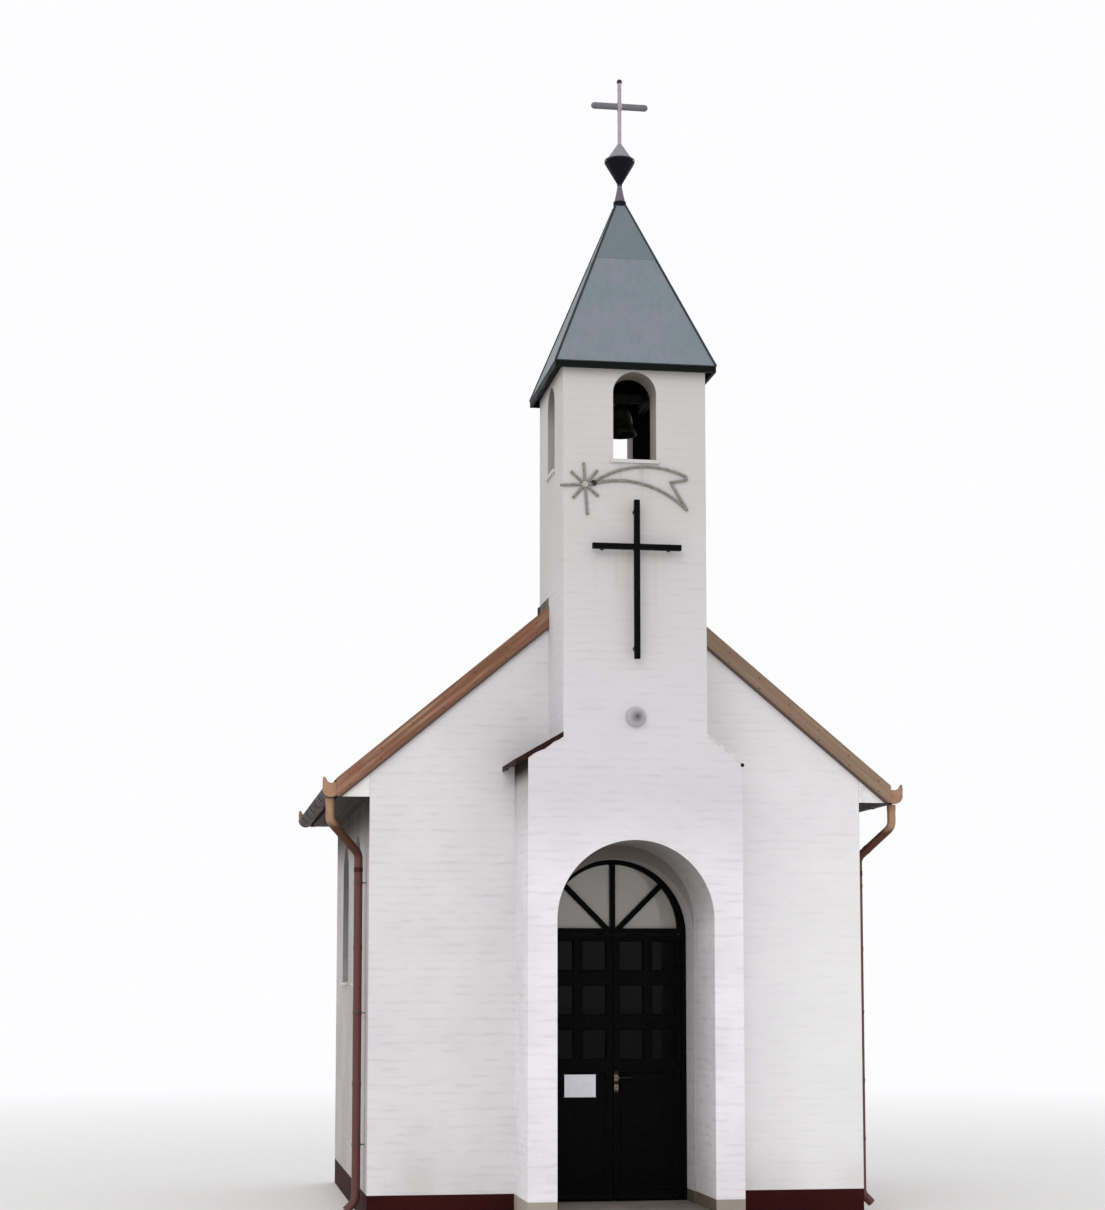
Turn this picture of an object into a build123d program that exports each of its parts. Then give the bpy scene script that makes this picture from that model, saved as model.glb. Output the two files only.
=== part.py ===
"""Small whitewashed chapel with a pitched roof, an arched porch and a belfry tower.

Millimetres. X runs across the front, Y runs into the building and Z runs up.
The origin lies on the building's axis, at the outer face of the gable wall, on the ground.
"""
import os
from math import atan2, cos, hypot, radians, sin, tan

from build123d import *

# Driving dimensions of the nave
floor_level = 150.0
soffit_level = 3880.0
nave_width = 4650.0
nave_length = 4400.0
front_wall_thickness = 550.0
side_wall_thickness = 350.0
back_wall_thickness = 350.0

# Driving dimensions of the roof and its edges
roof_pitch = 39.8
roof_thickness = 115.0
eave_overhang = 250.0
soffit_thickness = 20.0
fascia_thickness = 30.0
roof_cover = 35.0
roof_lip = 25.0
verge_depth = 155.0
verge_lap = 25.0
verge_thickness = 35.0

# Driving dimensions of the gutters and downpipes
gutter_diameter = 150.0
gutter_sheet = 4.0
gutter_rim_rise = 70.0
gutter_strap_width = 30.0
gutter_strap_count = 7
pipe_diameter = 80.0
pipe_sheet = 3.0
pipe_wall_gap = 35.0
pipe_outlet_inset = 120.0
pipe_corner_inset = 310.0
pipe_bend_top = 3660.0
pipe_bend_bottom = 3370.0
pipe_foot_level = 190.0
pipe_foot_reach = 90.0
pipe_clip_levels = (700.0, 1900.0, 3100.0)
pipe_clip_height = 30.0
pipe_clip_thickness = 4.0

# Driving dimensions of the portal and its vaulted passage
portal_width = 1960.0
portal_projection = 850.0
passage_width = 1430.0
passage_spring_level = 2737.0
shoulder_top_level = 4416.0
shoulder_end_level = 4165.0
shoulder_overhang_left = 110.0
shoulder_overhang_right = 15.0
shoulder_sheet = 22.0

# Driving dimensions of the doorway and its two leaves
doorway_width = 1406.0
doorway_spring_level = 2628.0
door_setback = 300.0
frame_jamb_width = 45.0
fanlight_radius = 620.0
fanlight_rise = 40.0
fanlight_bar_width = 48.0
fanlight_bar_depth = 45.0
fanlight_bar_leans = (-45.0, 0.0, 45.0)
transom_bottom = 2634.0
transom_height = 53.0
glass_thickness = 6.0
leaf_thickness = 50.0
leaf_inset = 10.0
leaf_clearance = 5.0
leaf_meeting_gap = 6.0
hinge_radius = 9.0
hinge_pin_radius = 4.0
hinge_pin_clearance = 0.05
hinge_knuckle = 60.0
hinge_play = 0.4
hinge_strap_thickness = 4.0
hinge_strap_reach = 40.0
hinge_levels = (480.0, 1420.0, 2330.0)
meeting_stile_width = 54.0
hinge_stile_width = 43.0
leaf_bar_width = 74.0
pane_bottom_level = 1455.0
pane_height = 290.0
pane_rail_height = 125.0
pane_rows = 3
leaf_panel_margin = 110.0
leaf_panel_recess = 8.0

# Driving dimensions of the door handle
handle_level = 1290.0
handle_plate_width = 38.0
handle_plate_height = 200.0
handle_plate_drop = 140.0
handle_plate_thickness = 6.0
handle_lever_length = 125.0
handle_lever_diameter = 18.0
handle_neck_length = 45.0

# Driving dimensions of the side windows
window_width = 800.0
window_sill_level = 2150.0
window_spring_level = 3200.0
window_inset = 1400.0
window_frame_setback = 120.0
window_frame_depth = 60.0
window_frame_width = 50.0
window_bar_width = 40.0
window_bar_depth = 24.0
sill_thickness = 40.0
sill_projection = 30.0

# Driving dimensions of the tower, the belfry and the bell
tower_width = 1320.0
tower_wall = 280.0
belfry_floor_thickness = 80.0
belfry_sill_level = 6920.0
belfry_sill_thickness = 32.0
belfry_sill_projection = 20.0
belfry_sill_ear = 25.0
belfry_opening_width = 400.0
belfry_spring_level = 7535.0
belfry_top_level = 7790.0
bell_axis_level = 7660.0
bell_lip_level = 7310.0
bell_mouth_diameter = 320.0
bell_height = 285.0
bell_wall = 16.0
bell_loop_diameter = 96.0
headstock_size = 80.0
headstock_length = 430.0
gudgeon_diameter = 30.0
gudgeon_clearance = 0.5
bell_beam_width = 60.0
bell_beam_height = 90.0
bell_beam_gap = 35.0
clapper_rod_diameter = 14.0
clapper_ball_diameter = 50.0

# Bell's outline from lip to crown: share of the mouth's radius, share of the bell's height
bell_outline = ((1.0, 0.0), (0.93, 0.10), (0.68, 0.38), (0.55, 0.80), (0.40, 1.0))

# Driving dimensions of the spire and its crowning
spire_overhang = 85.0
spire_fascia_height = 60.0
spire_fascia_drop = 50.0
spire_fascia_thickness = 25.0
spire_top_level = 9523.0
spire_top_width = 96.0
spire_shell = 60.0
collar_diameter = 122.0
collar_height = 45.0
neck_top_diameter = 36.0
neck_top_level = 9737.0
diamond_diameter = 288.0
diamond_middle_level = 9954.0
diamond_top_level = 10140.0
crown_stem_diameter = 37.0
crown_top_level = 10780.0
crown_bar_level = 10510.0
crown_bar_length = 550.0
crown_bar_diameter = 62.0
crown_knob_diameter = 52.0

# Driving dimensions of what hangs on the tower's front
wall_cross_bottom = 5080.0
wall_cross_top = 6530.0
wall_cross_bar_level = 6100.0
wall_cross_bar_length = 815.0
wall_cross_section = 50.0
wall_cross_standoff = 60.0
wall_cross_peg_diameter = 18.0
wall_cross_peg_inset = 100.0
lamp_level = 4560.0
lamp_diameter = 172.0
lamp_base_diameter = 150.0
lamp_base_depth = 25.0
lamp_dome_depth = 68.0
comet_tube_diameter = 26.0
comet_centre_x = -461.0
comet_centre_level = 6676.0
comet_tilt = 4.0
comet_hub_diameter = 64.0
comet_knot_diameter = 62.0
comet_knot_rise = 17.0
comet_tail_reach = 960.0

# Comet's rays, anticlockwise from the right, then its tail's points from the centre of its head,
# all as shares of the tail's reach
comet_rays = (0.088, 0.179, 0.204, 0.179, 0.238, 0.179, 0.29, 0.167)
comet_upper_tail = ((0.094, 0.031), (0.538, 0.186), (0.975, 0.104))
comet_lower_tail = ((0.094, 0.012), (0.562, 0.019), (1.0, -0.24))
comet_notch = ((0.975, 0.104), (0.984, 0.073), (0.823, 0.044), (0.925, -0.124), (1.0, -0.24))

# Clearance of a piece let into a curved seat
seat_clearance = 0.3

# Places that follow from the driving dimensions
half_nave = nave_width / 2
half_tower = tower_width / 2
half_portal = portal_width / 2
half_doorway = doorway_width / 2
half_passage = passage_width / 2
portal_face = -portal_projection
tower_back = front_wall_thickness
tower_depth = portal_projection + front_wall_thickness
tower_middle = (portal_face + tower_back) / 2
roof_slope = tan(radians(roof_pitch))
eave_edge = half_nave + eave_overhang
fascia_face = eave_edge + fascia_thickness
roof_edge = fascia_face + roof_lip
leaf_face = door_setback + leaf_inset
leaf_back = leaf_face + leaf_thickness
frame_back = leaf_back
jamb_face = half_doorway - seat_clearance - frame_jamb_width
leaf_width = jamb_face - leaf_clearance - leaf_meeting_gap / 2
hinge_x = jamb_face - leaf_clearance / 2
hinge_y = leaf_back + hinge_radius
leaf_bottom = floor_level + leaf_clearance
leaf_top = transom_bottom - leaf_clearance
shaft_top = belfry_sill_level - belfry_sill_thickness


def block(x0, x1, y0, y1, z0, z1):
    """A rectangular solid between two planes on each axis."""
    size = Box(x1 - x0, y1 - y0, z1 - z0)
    return Pos((x0 + x1) / 2, (y0 + y1) / 2, (z0 + z1) / 2) * size


def front_prism(points, y0, y1):
    """An outline drawn on the front elevation as (x, z) points, carried from y0 to y1."""
    outline = Plane.XZ.offset(-y0) * Polyline(*points, close=True)
    return extrude(make_face(outline), amount=y1 - y0, dir=(0, 1, 0))


def arch_prism(half_width, bottom, spring, y0, y1):
    """A round-headed opening on the axis X = 0, carried from y0 to y1."""
    jamb_left = Line((-half_width, spring), (-half_width, bottom))
    threshold = Line((-half_width, bottom), (half_width, bottom))
    jamb_right = Line((half_width, bottom), (half_width, spring))
    crown = (0, spring + half_width)
    head = ThreePointArc((half_width, spring), crown, (-half_width, spring))
    outline = Plane.XZ.offset(-y0) * Curve([jamb_left, threshold, jamb_right, head])
    return extrude(make_face(outline.edges()), amount=y1 - y0, dir=(0, 1, 0))


def half_disc(radius, spring, y0, y1):
    """A half disc standing on the level spring, carried from y0 to y1."""
    head = ThreePointArc((radius, spring), (0, spring + radius), (-radius, spring))
    outline = Plane.XZ.offset(-y0) * Curve([head, Line((-radius, spring), (radius, spring))])
    return extrude(make_face(outline.edges()), amount=y1 - y0, dir=(0, 1, 0))


def mirrored(solid):
    """The same piece on the other side of the building's axis."""
    return mirror(solid, about=Plane.YZ)


def verge_under(x):
    """Level of the verge board's lower edge at a distance x from the axis."""
    return soffit_level + (eave_edge - abs(x)) * roof_slope


def roof_under(x):
    """Level of the roof's underside at a distance x from the axis."""
    return verge_under(x) + verge_lap / cos(radians(roof_pitch))


def roof_over(x):
    """Level of the roof's upper face at a distance x from the axis."""
    return roof_under(x) + roof_thickness / cos(radians(roof_pitch))


def cover_under(x):
    """Level of the underside of the roof's covering, where it laps over the fascia."""
    return roof_over(x) - roof_cover / cos(radians(roof_pitch))


def tube_along(points, diameter):
    """A round bar through the points, with a ball at each bend."""
    bar = None
    for start, end in zip(points, points[1:]):
        axis = Vector(end) - Vector(start)
        piece = Plane(origin=start, z_dir=axis) * Cylinder(
            diameter / 2, axis.length, align=(Align.CENTER, Align.CENTER, Align.MIN)
        )
        bar = piece if bar is None else bar + piece
    for bend in points[1:-1]:
        bar = bar + Pos(*bend) * Sphere(diameter / 2)
    return bar


def nave_floor():
    """Floor slab between the nave's walls, reaching through the doorway to the portal."""
    inner = half_nave - side_wall_thickness
    back = nave_length - back_wall_thickness
    return block(-inner, inner, front_wall_thickness, back, 0, floor_level)


def porch_floor():
    """Floor slab of the passage and the threshold under the door."""
    passage = block(-half_passage, half_passage, portal_face, 0, 0, floor_level)
    threshold = block(-half_doorway, half_doorway, 0, front_wall_thickness, 0, floor_level)
    return passage + threshold


def front_wall_side():
    """Front wall to the left of the doorway, up to the springing of its arch."""
    return block(-half_nave, -half_doorway, 0, front_wall_thickness, 0, doorway_spring_level)


def front_wall_head():
    """Front wall above the springing, with the arch of the doorway cut through it."""
    wall = block(-half_nave, half_nave, 0, front_wall_thickness, doorway_spring_level, soffit_level)
    return wall - half_disc(half_doorway, doorway_spring_level, 0, front_wall_thickness)


def gable_side():
    """Left half of the front gable, between the tower and the slope of the roof."""
    outline = [
        (-half_nave, soffit_level),
        (-half_tower, soffit_level),
        (-half_tower, roof_under(half_tower)),
        (-half_nave, roof_under(half_nave)),
    ]
    return front_prism(outline, 0, front_wall_thickness)


def window_places():
    """Middle of each side window along the wall, one near each end."""
    return (window_inset, nave_length - window_inset)


def side_wall():
    """Left side wall under the slope of the roof, with its round-headed windows."""
    inner = half_nave - side_wall_thickness
    outline = [
        (-half_nave, 0),
        (-inner, 0),
        (-inner, roof_under(inner)),
        (-half_nave, roof_under(half_nave)),
    ]
    back = nave_length - back_wall_thickness
    wall = front_prism(outline, front_wall_thickness, back)
    for place in window_places():
        wall = wall - window_void(window_width / 2, place, 0, side_wall_thickness)
    return wall


def window_void(half_width, place, depth_from, depth_to):
    """A round-headed void in the left wall, between two depths behind its outer face."""
    upright = arch_prism(half_width, window_sill_level, window_spring_level, depth_from, depth_to)
    return Pos(-half_nave, place, 0) * Rot(0, 0, -90) * upright


def back_wall():
    """Rear gable wall up to the underside of the roof."""
    outline = [
        (-half_nave, 0),
        (half_nave, 0),
        (half_nave, roof_under(half_nave)),
        (0, roof_under(0)),
        (-half_nave, roof_under(half_nave)),
    ]
    return front_prism(outline, nave_length - back_wall_thickness, nave_length)


def portal_pier():
    """Left pier of the portal, up to the springing of its vault."""
    return block(-half_portal, -half_passage, portal_face, 0, 0, passage_spring_level)


def portal_vault():
    """Barrel vault of the passage with the sloping shoulders that hold the tower's foot."""
    cap_left = shoulder_sheet / cos(shoulder_angle(shoulder_overhang_left))
    cap_right = shoulder_sheet / cos(shoulder_angle(shoulder_overhang_right))
    outline = [
        (-half_portal, passage_spring_level),
        (half_portal, passage_spring_level),
        (half_portal, shoulder_level(half_portal, shoulder_overhang_right) - cap_right),
        (half_tower, shoulder_top_level - cap_right),
        (half_tower, soffit_level),
        (-half_tower, soffit_level),
        (-half_tower, shoulder_top_level - cap_left),
        (-half_portal, shoulder_level(half_portal, shoulder_overhang_left) - cap_left),
    ]
    mass = front_prism(outline, portal_face, 0)
    return mass - half_disc(half_passage, passage_spring_level, portal_face, 0)


def shoulder_angle(overhang):
    """Slope of a shoulder's cap, in radians, from its overhang."""
    run = half_portal + overhang - half_tower
    return atan2(shoulder_top_level - shoulder_end_level, run)


def shoulder_level(x, overhang):
    """Level of a shoulder cap's upper face at a distance x from the axis."""
    return shoulder_top_level - (x - half_tower) * tan(shoulder_angle(overhang))


def shoulder_cap(overhang):
    """Sheet cap on the right shoulder of the portal, from the tower to its drip edge."""
    drop = shoulder_sheet / cos(shoulder_angle(overhang))
    edge = half_portal + overhang
    outline = [
        (half_tower, shoulder_top_level),
        (edge, shoulder_end_level),
        (edge, shoulder_end_level - drop),
        (half_tower, shoulder_top_level - drop),
    ]
    return front_prism(outline, portal_face, 0)


def tower_shaft():
    """Hollow square shaft of the tower, from the vault up to the belfry's sills."""
    outer = block(-half_tower, half_tower, portal_face, tower_back, soffit_level, shaft_top)
    inner_x = half_tower - tower_wall
    inner_front = portal_face + tower_wall
    inner_back = tower_back - tower_wall
    return outer - block(-inner_x, inner_x, inner_front, inner_back, soffit_level, shaft_top)


def belfry_floor():
    """Floor of the bell chamber, let into the top of the shaft."""
    inner_x = half_tower - tower_wall
    inner_front = portal_face + tower_wall
    inner_back = tower_back - tower_wall
    under = shaft_top - belfry_floor_thickness
    return block(-inner_x, inner_x, inner_front, inner_back, under, shaft_top)


def belfry_wall(width):
    """Wall of the bell chamber with a round-headed sound opening and its sill, facing -Y at Y = 0."""
    wall = block(-width / 2, width / 2, 0, tower_wall, shaft_top, belfry_top_level)
    half_opening = belfry_opening_width / 2
    wall = wall - arch_prism(half_opening, shaft_top, belfry_spring_level, 0, tower_wall)
    ear = half_opening + belfry_sill_ear
    slab = block(-half_opening, half_opening, 0, tower_wall, shaft_top, belfry_sill_level)
    nose = block(-ear, ear, -belfry_sill_projection, 0, shaft_top, belfry_sill_level)
    return wall + slab + nose


def belfry_front():
    """Front wall of the bell chamber, across the whole tower."""
    return Pos(0, portal_face, 0) * belfry_wall(tower_width)


def belfry_back():
    """Rear wall of the bell chamber, across the whole tower."""
    return Pos(0, tower_back, 0) * Rot(0, 0, 180) * belfry_wall(tower_width)


def belfry_side():
    """Left wall of the bell chamber, between its front and rear walls."""
    wall = belfry_wall(tower_depth - 2 * tower_wall)
    return Pos(-half_tower, tower_middle, 0) * Rot(0, 0, -90) * wall


def bell_frame():
    """Two beams from the front to the back of the bell chamber, bored for the bell's pins."""
    near = headstock_length / 2 + bell_beam_gap
    low = bell_axis_level - bell_beam_height / 2
    high = bell_axis_level + bell_beam_height / 2
    inner_front = portal_face + tower_wall
    inner_back = tower_back - tower_wall
    beam = block(near, near + bell_beam_width, inner_front, inner_back, low, high)
    bore = Cylinder(gudgeon_diameter / 2 + gudgeon_clearance, tower_width)
    beam = beam - Pos(0, tower_middle, bell_axis_level) * Rot(0, 90, 0) * bore
    return Compound([beam, mirrored(beam)])


def bell():
    """Bell with its wooden headstock, its two pins and its clapper."""
    mouth = bell_mouth_diameter / 2
    crown = bell_lip_level + bell_height
    outer = [
        (mouth * across, bell_lip_level + bell_height * up) for across, up in bell_outline
    ]
    inner = [(x - bell_wall, min(z, crown - bell_wall)) for x, z in reversed(outer)]
    top = Line(outer[-1], (0, crown))
    middle = Line((0, crown), (0, crown - bell_wall))
    ceiling = Line((0, crown - bell_wall), inner[0])
    rim = Line(inner[-1], outer[0])
    outline = Curve([Spline(*outer), top, middle, ceiling, Spline(*inner), rim])
    shell = revolve(make_face((Plane.XZ * outline).edges()), axis=Axis.Z)
    headstock_under = bell_axis_level - headstock_size / 2
    loop = Pos(0, 0, crown) * Cylinder(
        bell_loop_diameter / 2, headstock_under - crown, align=(Align.CENTER, Align.CENTER, Align.MIN)
    )
    stock = Pos(0, 0, bell_axis_level) * Box(headstock_length, headstock_size, headstock_size)
    pin_length = headstock_length + 2 * (bell_beam_gap + bell_beam_width)
    pins = Pos(0, 0, bell_axis_level) * Rot(0, 90, 0) * Cylinder(gudgeon_diameter / 2, pin_length)
    ball_level = bell_lip_level + clapper_ball_diameter / 2
    rod = Pos(0, 0, ball_level) * Cylinder(
        clapper_rod_diameter / 2,
        crown - bell_wall / 2 - ball_level,
        align=(Align.CENTER, Align.CENTER, Align.MIN),
    )
    ball = Pos(0, 0, ball_level) * Sphere(clapper_ball_diameter / 2)
    return Pos(0, tower_middle, 0) * (shell + loop + stock + pins + rod + ball)


def spire():
    """Square spire: a hollow pyramid over a boxed eave with a hanging fascia."""
    base_x = half_tower + spire_overhang
    base_y = tower_depth / 2 + spire_overhang
    fascia_under = belfry_top_level - spire_fascia_drop
    eave_top = fascia_under + spire_fascia_height
    inner_x = half_tower - tower_wall
    inner_y = tower_depth / 2 - tower_wall
    foot = block(-base_x, base_x, -base_y, base_y, fascia_under, eave_top)
    lip = spire_fascia_thickness
    foot = foot - block(
        lip - base_x, base_x - lip, lip - base_y, base_y - lip, fascia_under, belfry_top_level
    )
    foot = foot - block(-inner_x, inner_x, -inner_y, inner_y, belfry_top_level, eave_top)
    outer = loft(
        [
            Plane.XY.offset(eave_top) * Rectangle(2 * base_x, 2 * base_y),
            Plane.XY.offset(spire_top_level) * Rectangle(spire_top_width, spire_top_width),
        ]
    )
    lean = hypot(base_x, spire_top_level - eave_top) / (spire_top_level - eave_top)
    hollow_top = spire_top_level - spire_shell * lean * (spire_top_level - eave_top) / base_x
    share = (hollow_top - eave_top) / (spire_top_level - eave_top)
    hollow_x = inner_x * (1 - share)
    hollow_y = inner_y * (1 - share)
    inner = loft(
        [
            Plane.XY.offset(eave_top) * Rectangle(2 * inner_x, 2 * inner_y),
            Plane.XY.offset(hollow_top) * Rectangle(2 * hollow_x, 2 * hollow_y),
        ]
    )
    return Pos(0, tower_middle, 0) * (foot + (outer - inner))


def finial():
    """Turned crowning of the spire: a collar, a tapered neck and a double cone."""
    collar_top = spire_top_level + collar_height
    outline = [
        (0, spire_top_level),
        (collar_diameter / 2, spire_top_level),
        (collar_diameter / 2, collar_top),
        (spire_top_width / 2, collar_top),
        (neck_top_diameter / 2, neck_top_level),
        (diamond_diameter / 2, diamond_middle_level),
        (crown_stem_diameter / 2, diamond_top_level),
        (0, diamond_top_level),
    ]
    face = make_face(Plane.XZ * Polyline(*outline, close=True))
    return Pos(0, tower_middle, 0) * revolve(face, axis=Axis.Z)


def spire_cross():
    """Cross on the spire: a stem with a knob and a thick round-ended bar."""
    stem_height = crown_top_level - crown_knob_diameter / 2 - diamond_top_level
    upright = (Align.CENTER, Align.CENTER, Align.MIN)
    stem = Cylinder(crown_stem_diameter / 2, stem_height, align=upright)
    stem = Pos(0, 0, diamond_top_level) * stem
    knob = Pos(0, 0, crown_top_level - crown_knob_diameter / 2) * Sphere(crown_knob_diameter / 2)
    straight = crown_bar_length - crown_bar_diameter
    bar = Rot(0, 90, 0) * Cylinder(crown_bar_diameter / 2, straight)
    ends = [Pos(side * straight / 2, 0, 0) * Sphere(crown_bar_diameter / 2) for side in (-1, 1)]
    bar = Pos(0, 0, crown_bar_level) * (bar + ends[0] + ends[1])
    return Pos(0, tower_middle, 0) * (stem + knob + bar)


def roof_side():
    """Left slope of the roof, notched round the tower."""
    outline = [
        (-eave_edge, roof_under(eave_edge)),
        (0, roof_under(0)),
        (0, roof_over(0)),
        (-roof_edge, roof_over(roof_edge)),
        (-roof_edge, cover_under(roof_edge)),
        (-eave_edge, cover_under(eave_edge)),
    ]
    slope = front_prism(outline, 0, nave_length)
    notch = block(-half_tower, half_tower, 0, tower_back, soffit_level, belfry_top_level)
    return slope - notch


def verge_outline(inner_x):
    """Outline of a left verge board from the roof's edge to inner_x."""
    depth = verge_depth / cos(radians(roof_pitch))
    return [
        (-roof_edge, verge_under(eave_edge)),
        (-eave_edge, verge_under(eave_edge)),
        (-inner_x, verge_under(inner_x)),
        (-inner_x, verge_under(inner_x) + depth),
        (-roof_edge, verge_under(roof_edge) + depth),
    ]


def verge_front():
    """Left verge board on the front gable, from the eave to the tower."""
    return front_prism(verge_outline(half_tower), -verge_thickness, 0)


def verge_back():
    """Pair of verge boards on the rear gable, joined at the ridge."""
    left = front_prism(verge_outline(0), nave_length, nave_length + verge_thickness)
    return left + mirrored(left)


def eave():
    """Boxed left eave: a level soffit, an upright fascia and closed ends."""
    soffit_over = soffit_level + soffit_thickness
    soffit = block(-eave_edge, -half_nave, 0, nave_length, soffit_level, soffit_over)
    board = front_prism(
        [
            (-fascia_face, soffit_level),
            (-eave_edge, soffit_level),
            (-eave_edge, cover_under(eave_edge)),
            (-fascia_face, cover_under(fascia_face)),
        ],
        0,
        nave_length,
    )
    end = front_prism(
        [
            (-eave_edge, soffit_level),
            (-half_nave, soffit_level),
            (-half_nave, roof_under(half_nave)),
            (-eave_edge, roof_under(eave_edge)),
        ],
        0,
        fascia_thickness,
    )
    far_end = Pos(0, nave_length - fascia_thickness, 0) * end
    return soffit + board + end + far_end


def gutter():
    """Left half-round gutter with stop ends and straps that carry it on the fascia."""
    radius = gutter_diameter / 2
    centre_x = -(fascia_face + radius)
    centre_z = soffit_level + gutter_rim_rise
    length = nave_length
    outer = Pos(centre_x, length / 2, centre_z) * Rot(90, 0, 0) * Cylinder(radius, length)
    bore = Cylinder(radius - gutter_sheet, length - 2 * gutter_sheet)
    inner = Pos(centre_x, length / 2, centre_z) * Rot(90, 0, 0) * bore
    above = block(
        centre_x - radius, centre_x + radius, 0, length, centre_z, centre_z + radius
    )
    trough = outer - inner - above
    step = (length - gutter_strap_width) / (gutter_strap_count - 1)
    for number in range(gutter_strap_count):
        start = number * step
        strap = Cylinder(radius + gutter_sheet, gutter_strap_width)
        strap = strap - Cylinder(radius, gutter_strap_width)
        middle = start + gutter_strap_width / 2
        strap = Pos(centre_x, middle, centre_z) * Rot(90, 0, 0) * strap
        beyond = fascia_face + 2 * radius + 2 * gutter_sheet
        lower = block(
            -beyond,
            -fascia_face,
            start,
            start + gutter_strap_width,
            centre_z - radius - gutter_sheet,
            centre_z,
        )
        trough = trough + (strap & lower)
    outlet = Pos(centre_x, pipe_outlet_inset, centre_z - radius) * Cylinder(
        pipe_diameter / 2 - pipe_sheet, gutter_diameter
    )
    return trough - outlet


def downpipe():
    """Left downpipe, drawn from the wall's face at X = 0: drop, swan neck, long pipe and foot."""
    radius = pipe_diameter / 2
    drop_x = -(eave_overhang + fascia_thickness + gutter_diameter / 2)
    pipe_x = -(pipe_wall_gap + radius)
    top = soffit_level + gutter_rim_rise - gutter_diameter / 2 - gutter_sheet - seat_clearance
    route = [
        (drop_x, pipe_outlet_inset, top),
        (drop_x, pipe_outlet_inset, pipe_bend_top),
        (pipe_x, pipe_corner_inset, pipe_bend_bottom),
        (pipe_x, pipe_corner_inset, pipe_foot_level),
        (pipe_x - pipe_foot_reach, pipe_corner_inset, pipe_foot_level - pipe_foot_reach),
    ]
    pipe = tube_along(route, pipe_diameter)
    for level in pipe_clip_levels:
        band = Pos(pipe_x, pipe_corner_inset, level) * Cylinder(
            radius + pipe_clip_thickness, pipe_clip_height
        )
        arm = block(
            pipe_x,
            0,
            pipe_corner_inset - pipe_clip_height / 2,
            pipe_corner_inset + pipe_clip_height / 2,
            level - pipe_clip_height / 2,
            level + pipe_clip_height / 2,
        )
        pipe = pipe + band + arm
    return Pos(-half_nave, 0, 0) * pipe


def door_frame():
    """Arched door frame with its transom and the three bars of the fanlight."""
    outer_radius = half_doorway - seat_clearance
    back = frame_back
    frame = arch_prism(outer_radius, floor_level, doorway_spring_level, door_setback, back)
    transom_top = transom_bottom + transom_height
    frame = frame - block(-jamb_face, jamb_face, door_setback, back, floor_level, transom_bottom)
    centre = doorway_spring_level + fanlight_rise
    light = Pos(0, (door_setback + back) / 2, centre) * Rot(90, 0, 0) * Cylinder(
        fanlight_radius, back - door_setback
    )
    above = block(
        -outer_radius, outer_radius, door_setback, back, transom_top, centre + fanlight_radius
    )
    frame = frame - (light & above)
    bars_back = door_setback + fanlight_bar_depth
    for lean in fanlight_bar_leans:
        bar = block(
            -fanlight_bar_width / 2,
            fanlight_bar_width / 2,
            door_setback,
            bars_back,
            0,
            outer_radius - frame_jamb_width / 2,
        )
        bar = Pos(0, 0, doorway_spring_level) * Rot(0, lean, 0) * bar
        frame = frame + (bar & above)
    for level in hinge_levels:
        fixed = hinge_fixed_half(level)
        frame = frame + fixed + mirrored(fixed)
    return frame


def hinge_fixed_half(level):
    """The frame's half of a right hinge: a pin held by a knuckle above and one below."""
    pin = Pos(hinge_x, hinge_y, level) * Cylinder(hinge_pin_radius, 2 * hinge_knuckle)
    half = pin
    for side in (-1, 1):
        tall = hinge_knuckle / 2 - hinge_play
        middle = level + side * (hinge_knuckle / 2 + hinge_play + tall / 2)
        half = half + Pos(hinge_x, hinge_y, middle) * Cylinder(hinge_radius, tall)
        half = half + block(
            hinge_x,
            jamb_face + hinge_strap_reach,
            frame_back,
            frame_back + hinge_strap_thickness,
            middle - tall / 2,
            middle + tall / 2,
        )
    return half


def hinge_moving_half(level):
    """The leaf's half of a right hinge: a bored knuckle on a strap."""
    half = Pos(hinge_x, hinge_y, level) * Cylinder(hinge_radius, hinge_knuckle)
    half = half + block(
        hinge_x - hinge_strap_reach,
        hinge_x,
        leaf_back,
        leaf_back + hinge_strap_thickness,
        level - hinge_knuckle / 2,
        level + hinge_knuckle / 2,
    )
    bore = Cylinder(hinge_pin_radius + hinge_pin_clearance, 2 * hinge_knuckle)
    return half - Pos(hinge_x, hinge_y, level) * bore


def fanlight_glass():
    """Glass of the fanlight, behind its bars and inside the arch of the frame."""
    centre = doorway_spring_level + fanlight_rise
    near = door_setback + fanlight_bar_depth
    radius = fanlight_radius - seat_clearance
    disc = Pos(0, near + glass_thickness / 2, centre) * Rot(90, 0, 0) * Cylinder(
        radius, glass_thickness
    )
    above = block(
        -radius,
        radius,
        near,
        near + glass_thickness,
        transom_bottom + transom_height,
        centre + radius,
    )
    return disc & above


def leaf_columns():
    """Near and far edge of each column of panes, measured from the axis."""
    first = leaf_meeting_gap / 2 + meeting_stile_width
    last = jamb_face - leaf_clearance - hinge_stile_width
    column = (last - first - leaf_bar_width) / 2
    return ((first, first + column), (last - column, last))


def pane_rows_bottoms():
    """Lower edge of each row of panes."""
    return [
        pane_bottom_level + row * (pane_height + pane_rail_height) for row in range(pane_rows)
    ]


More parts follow.
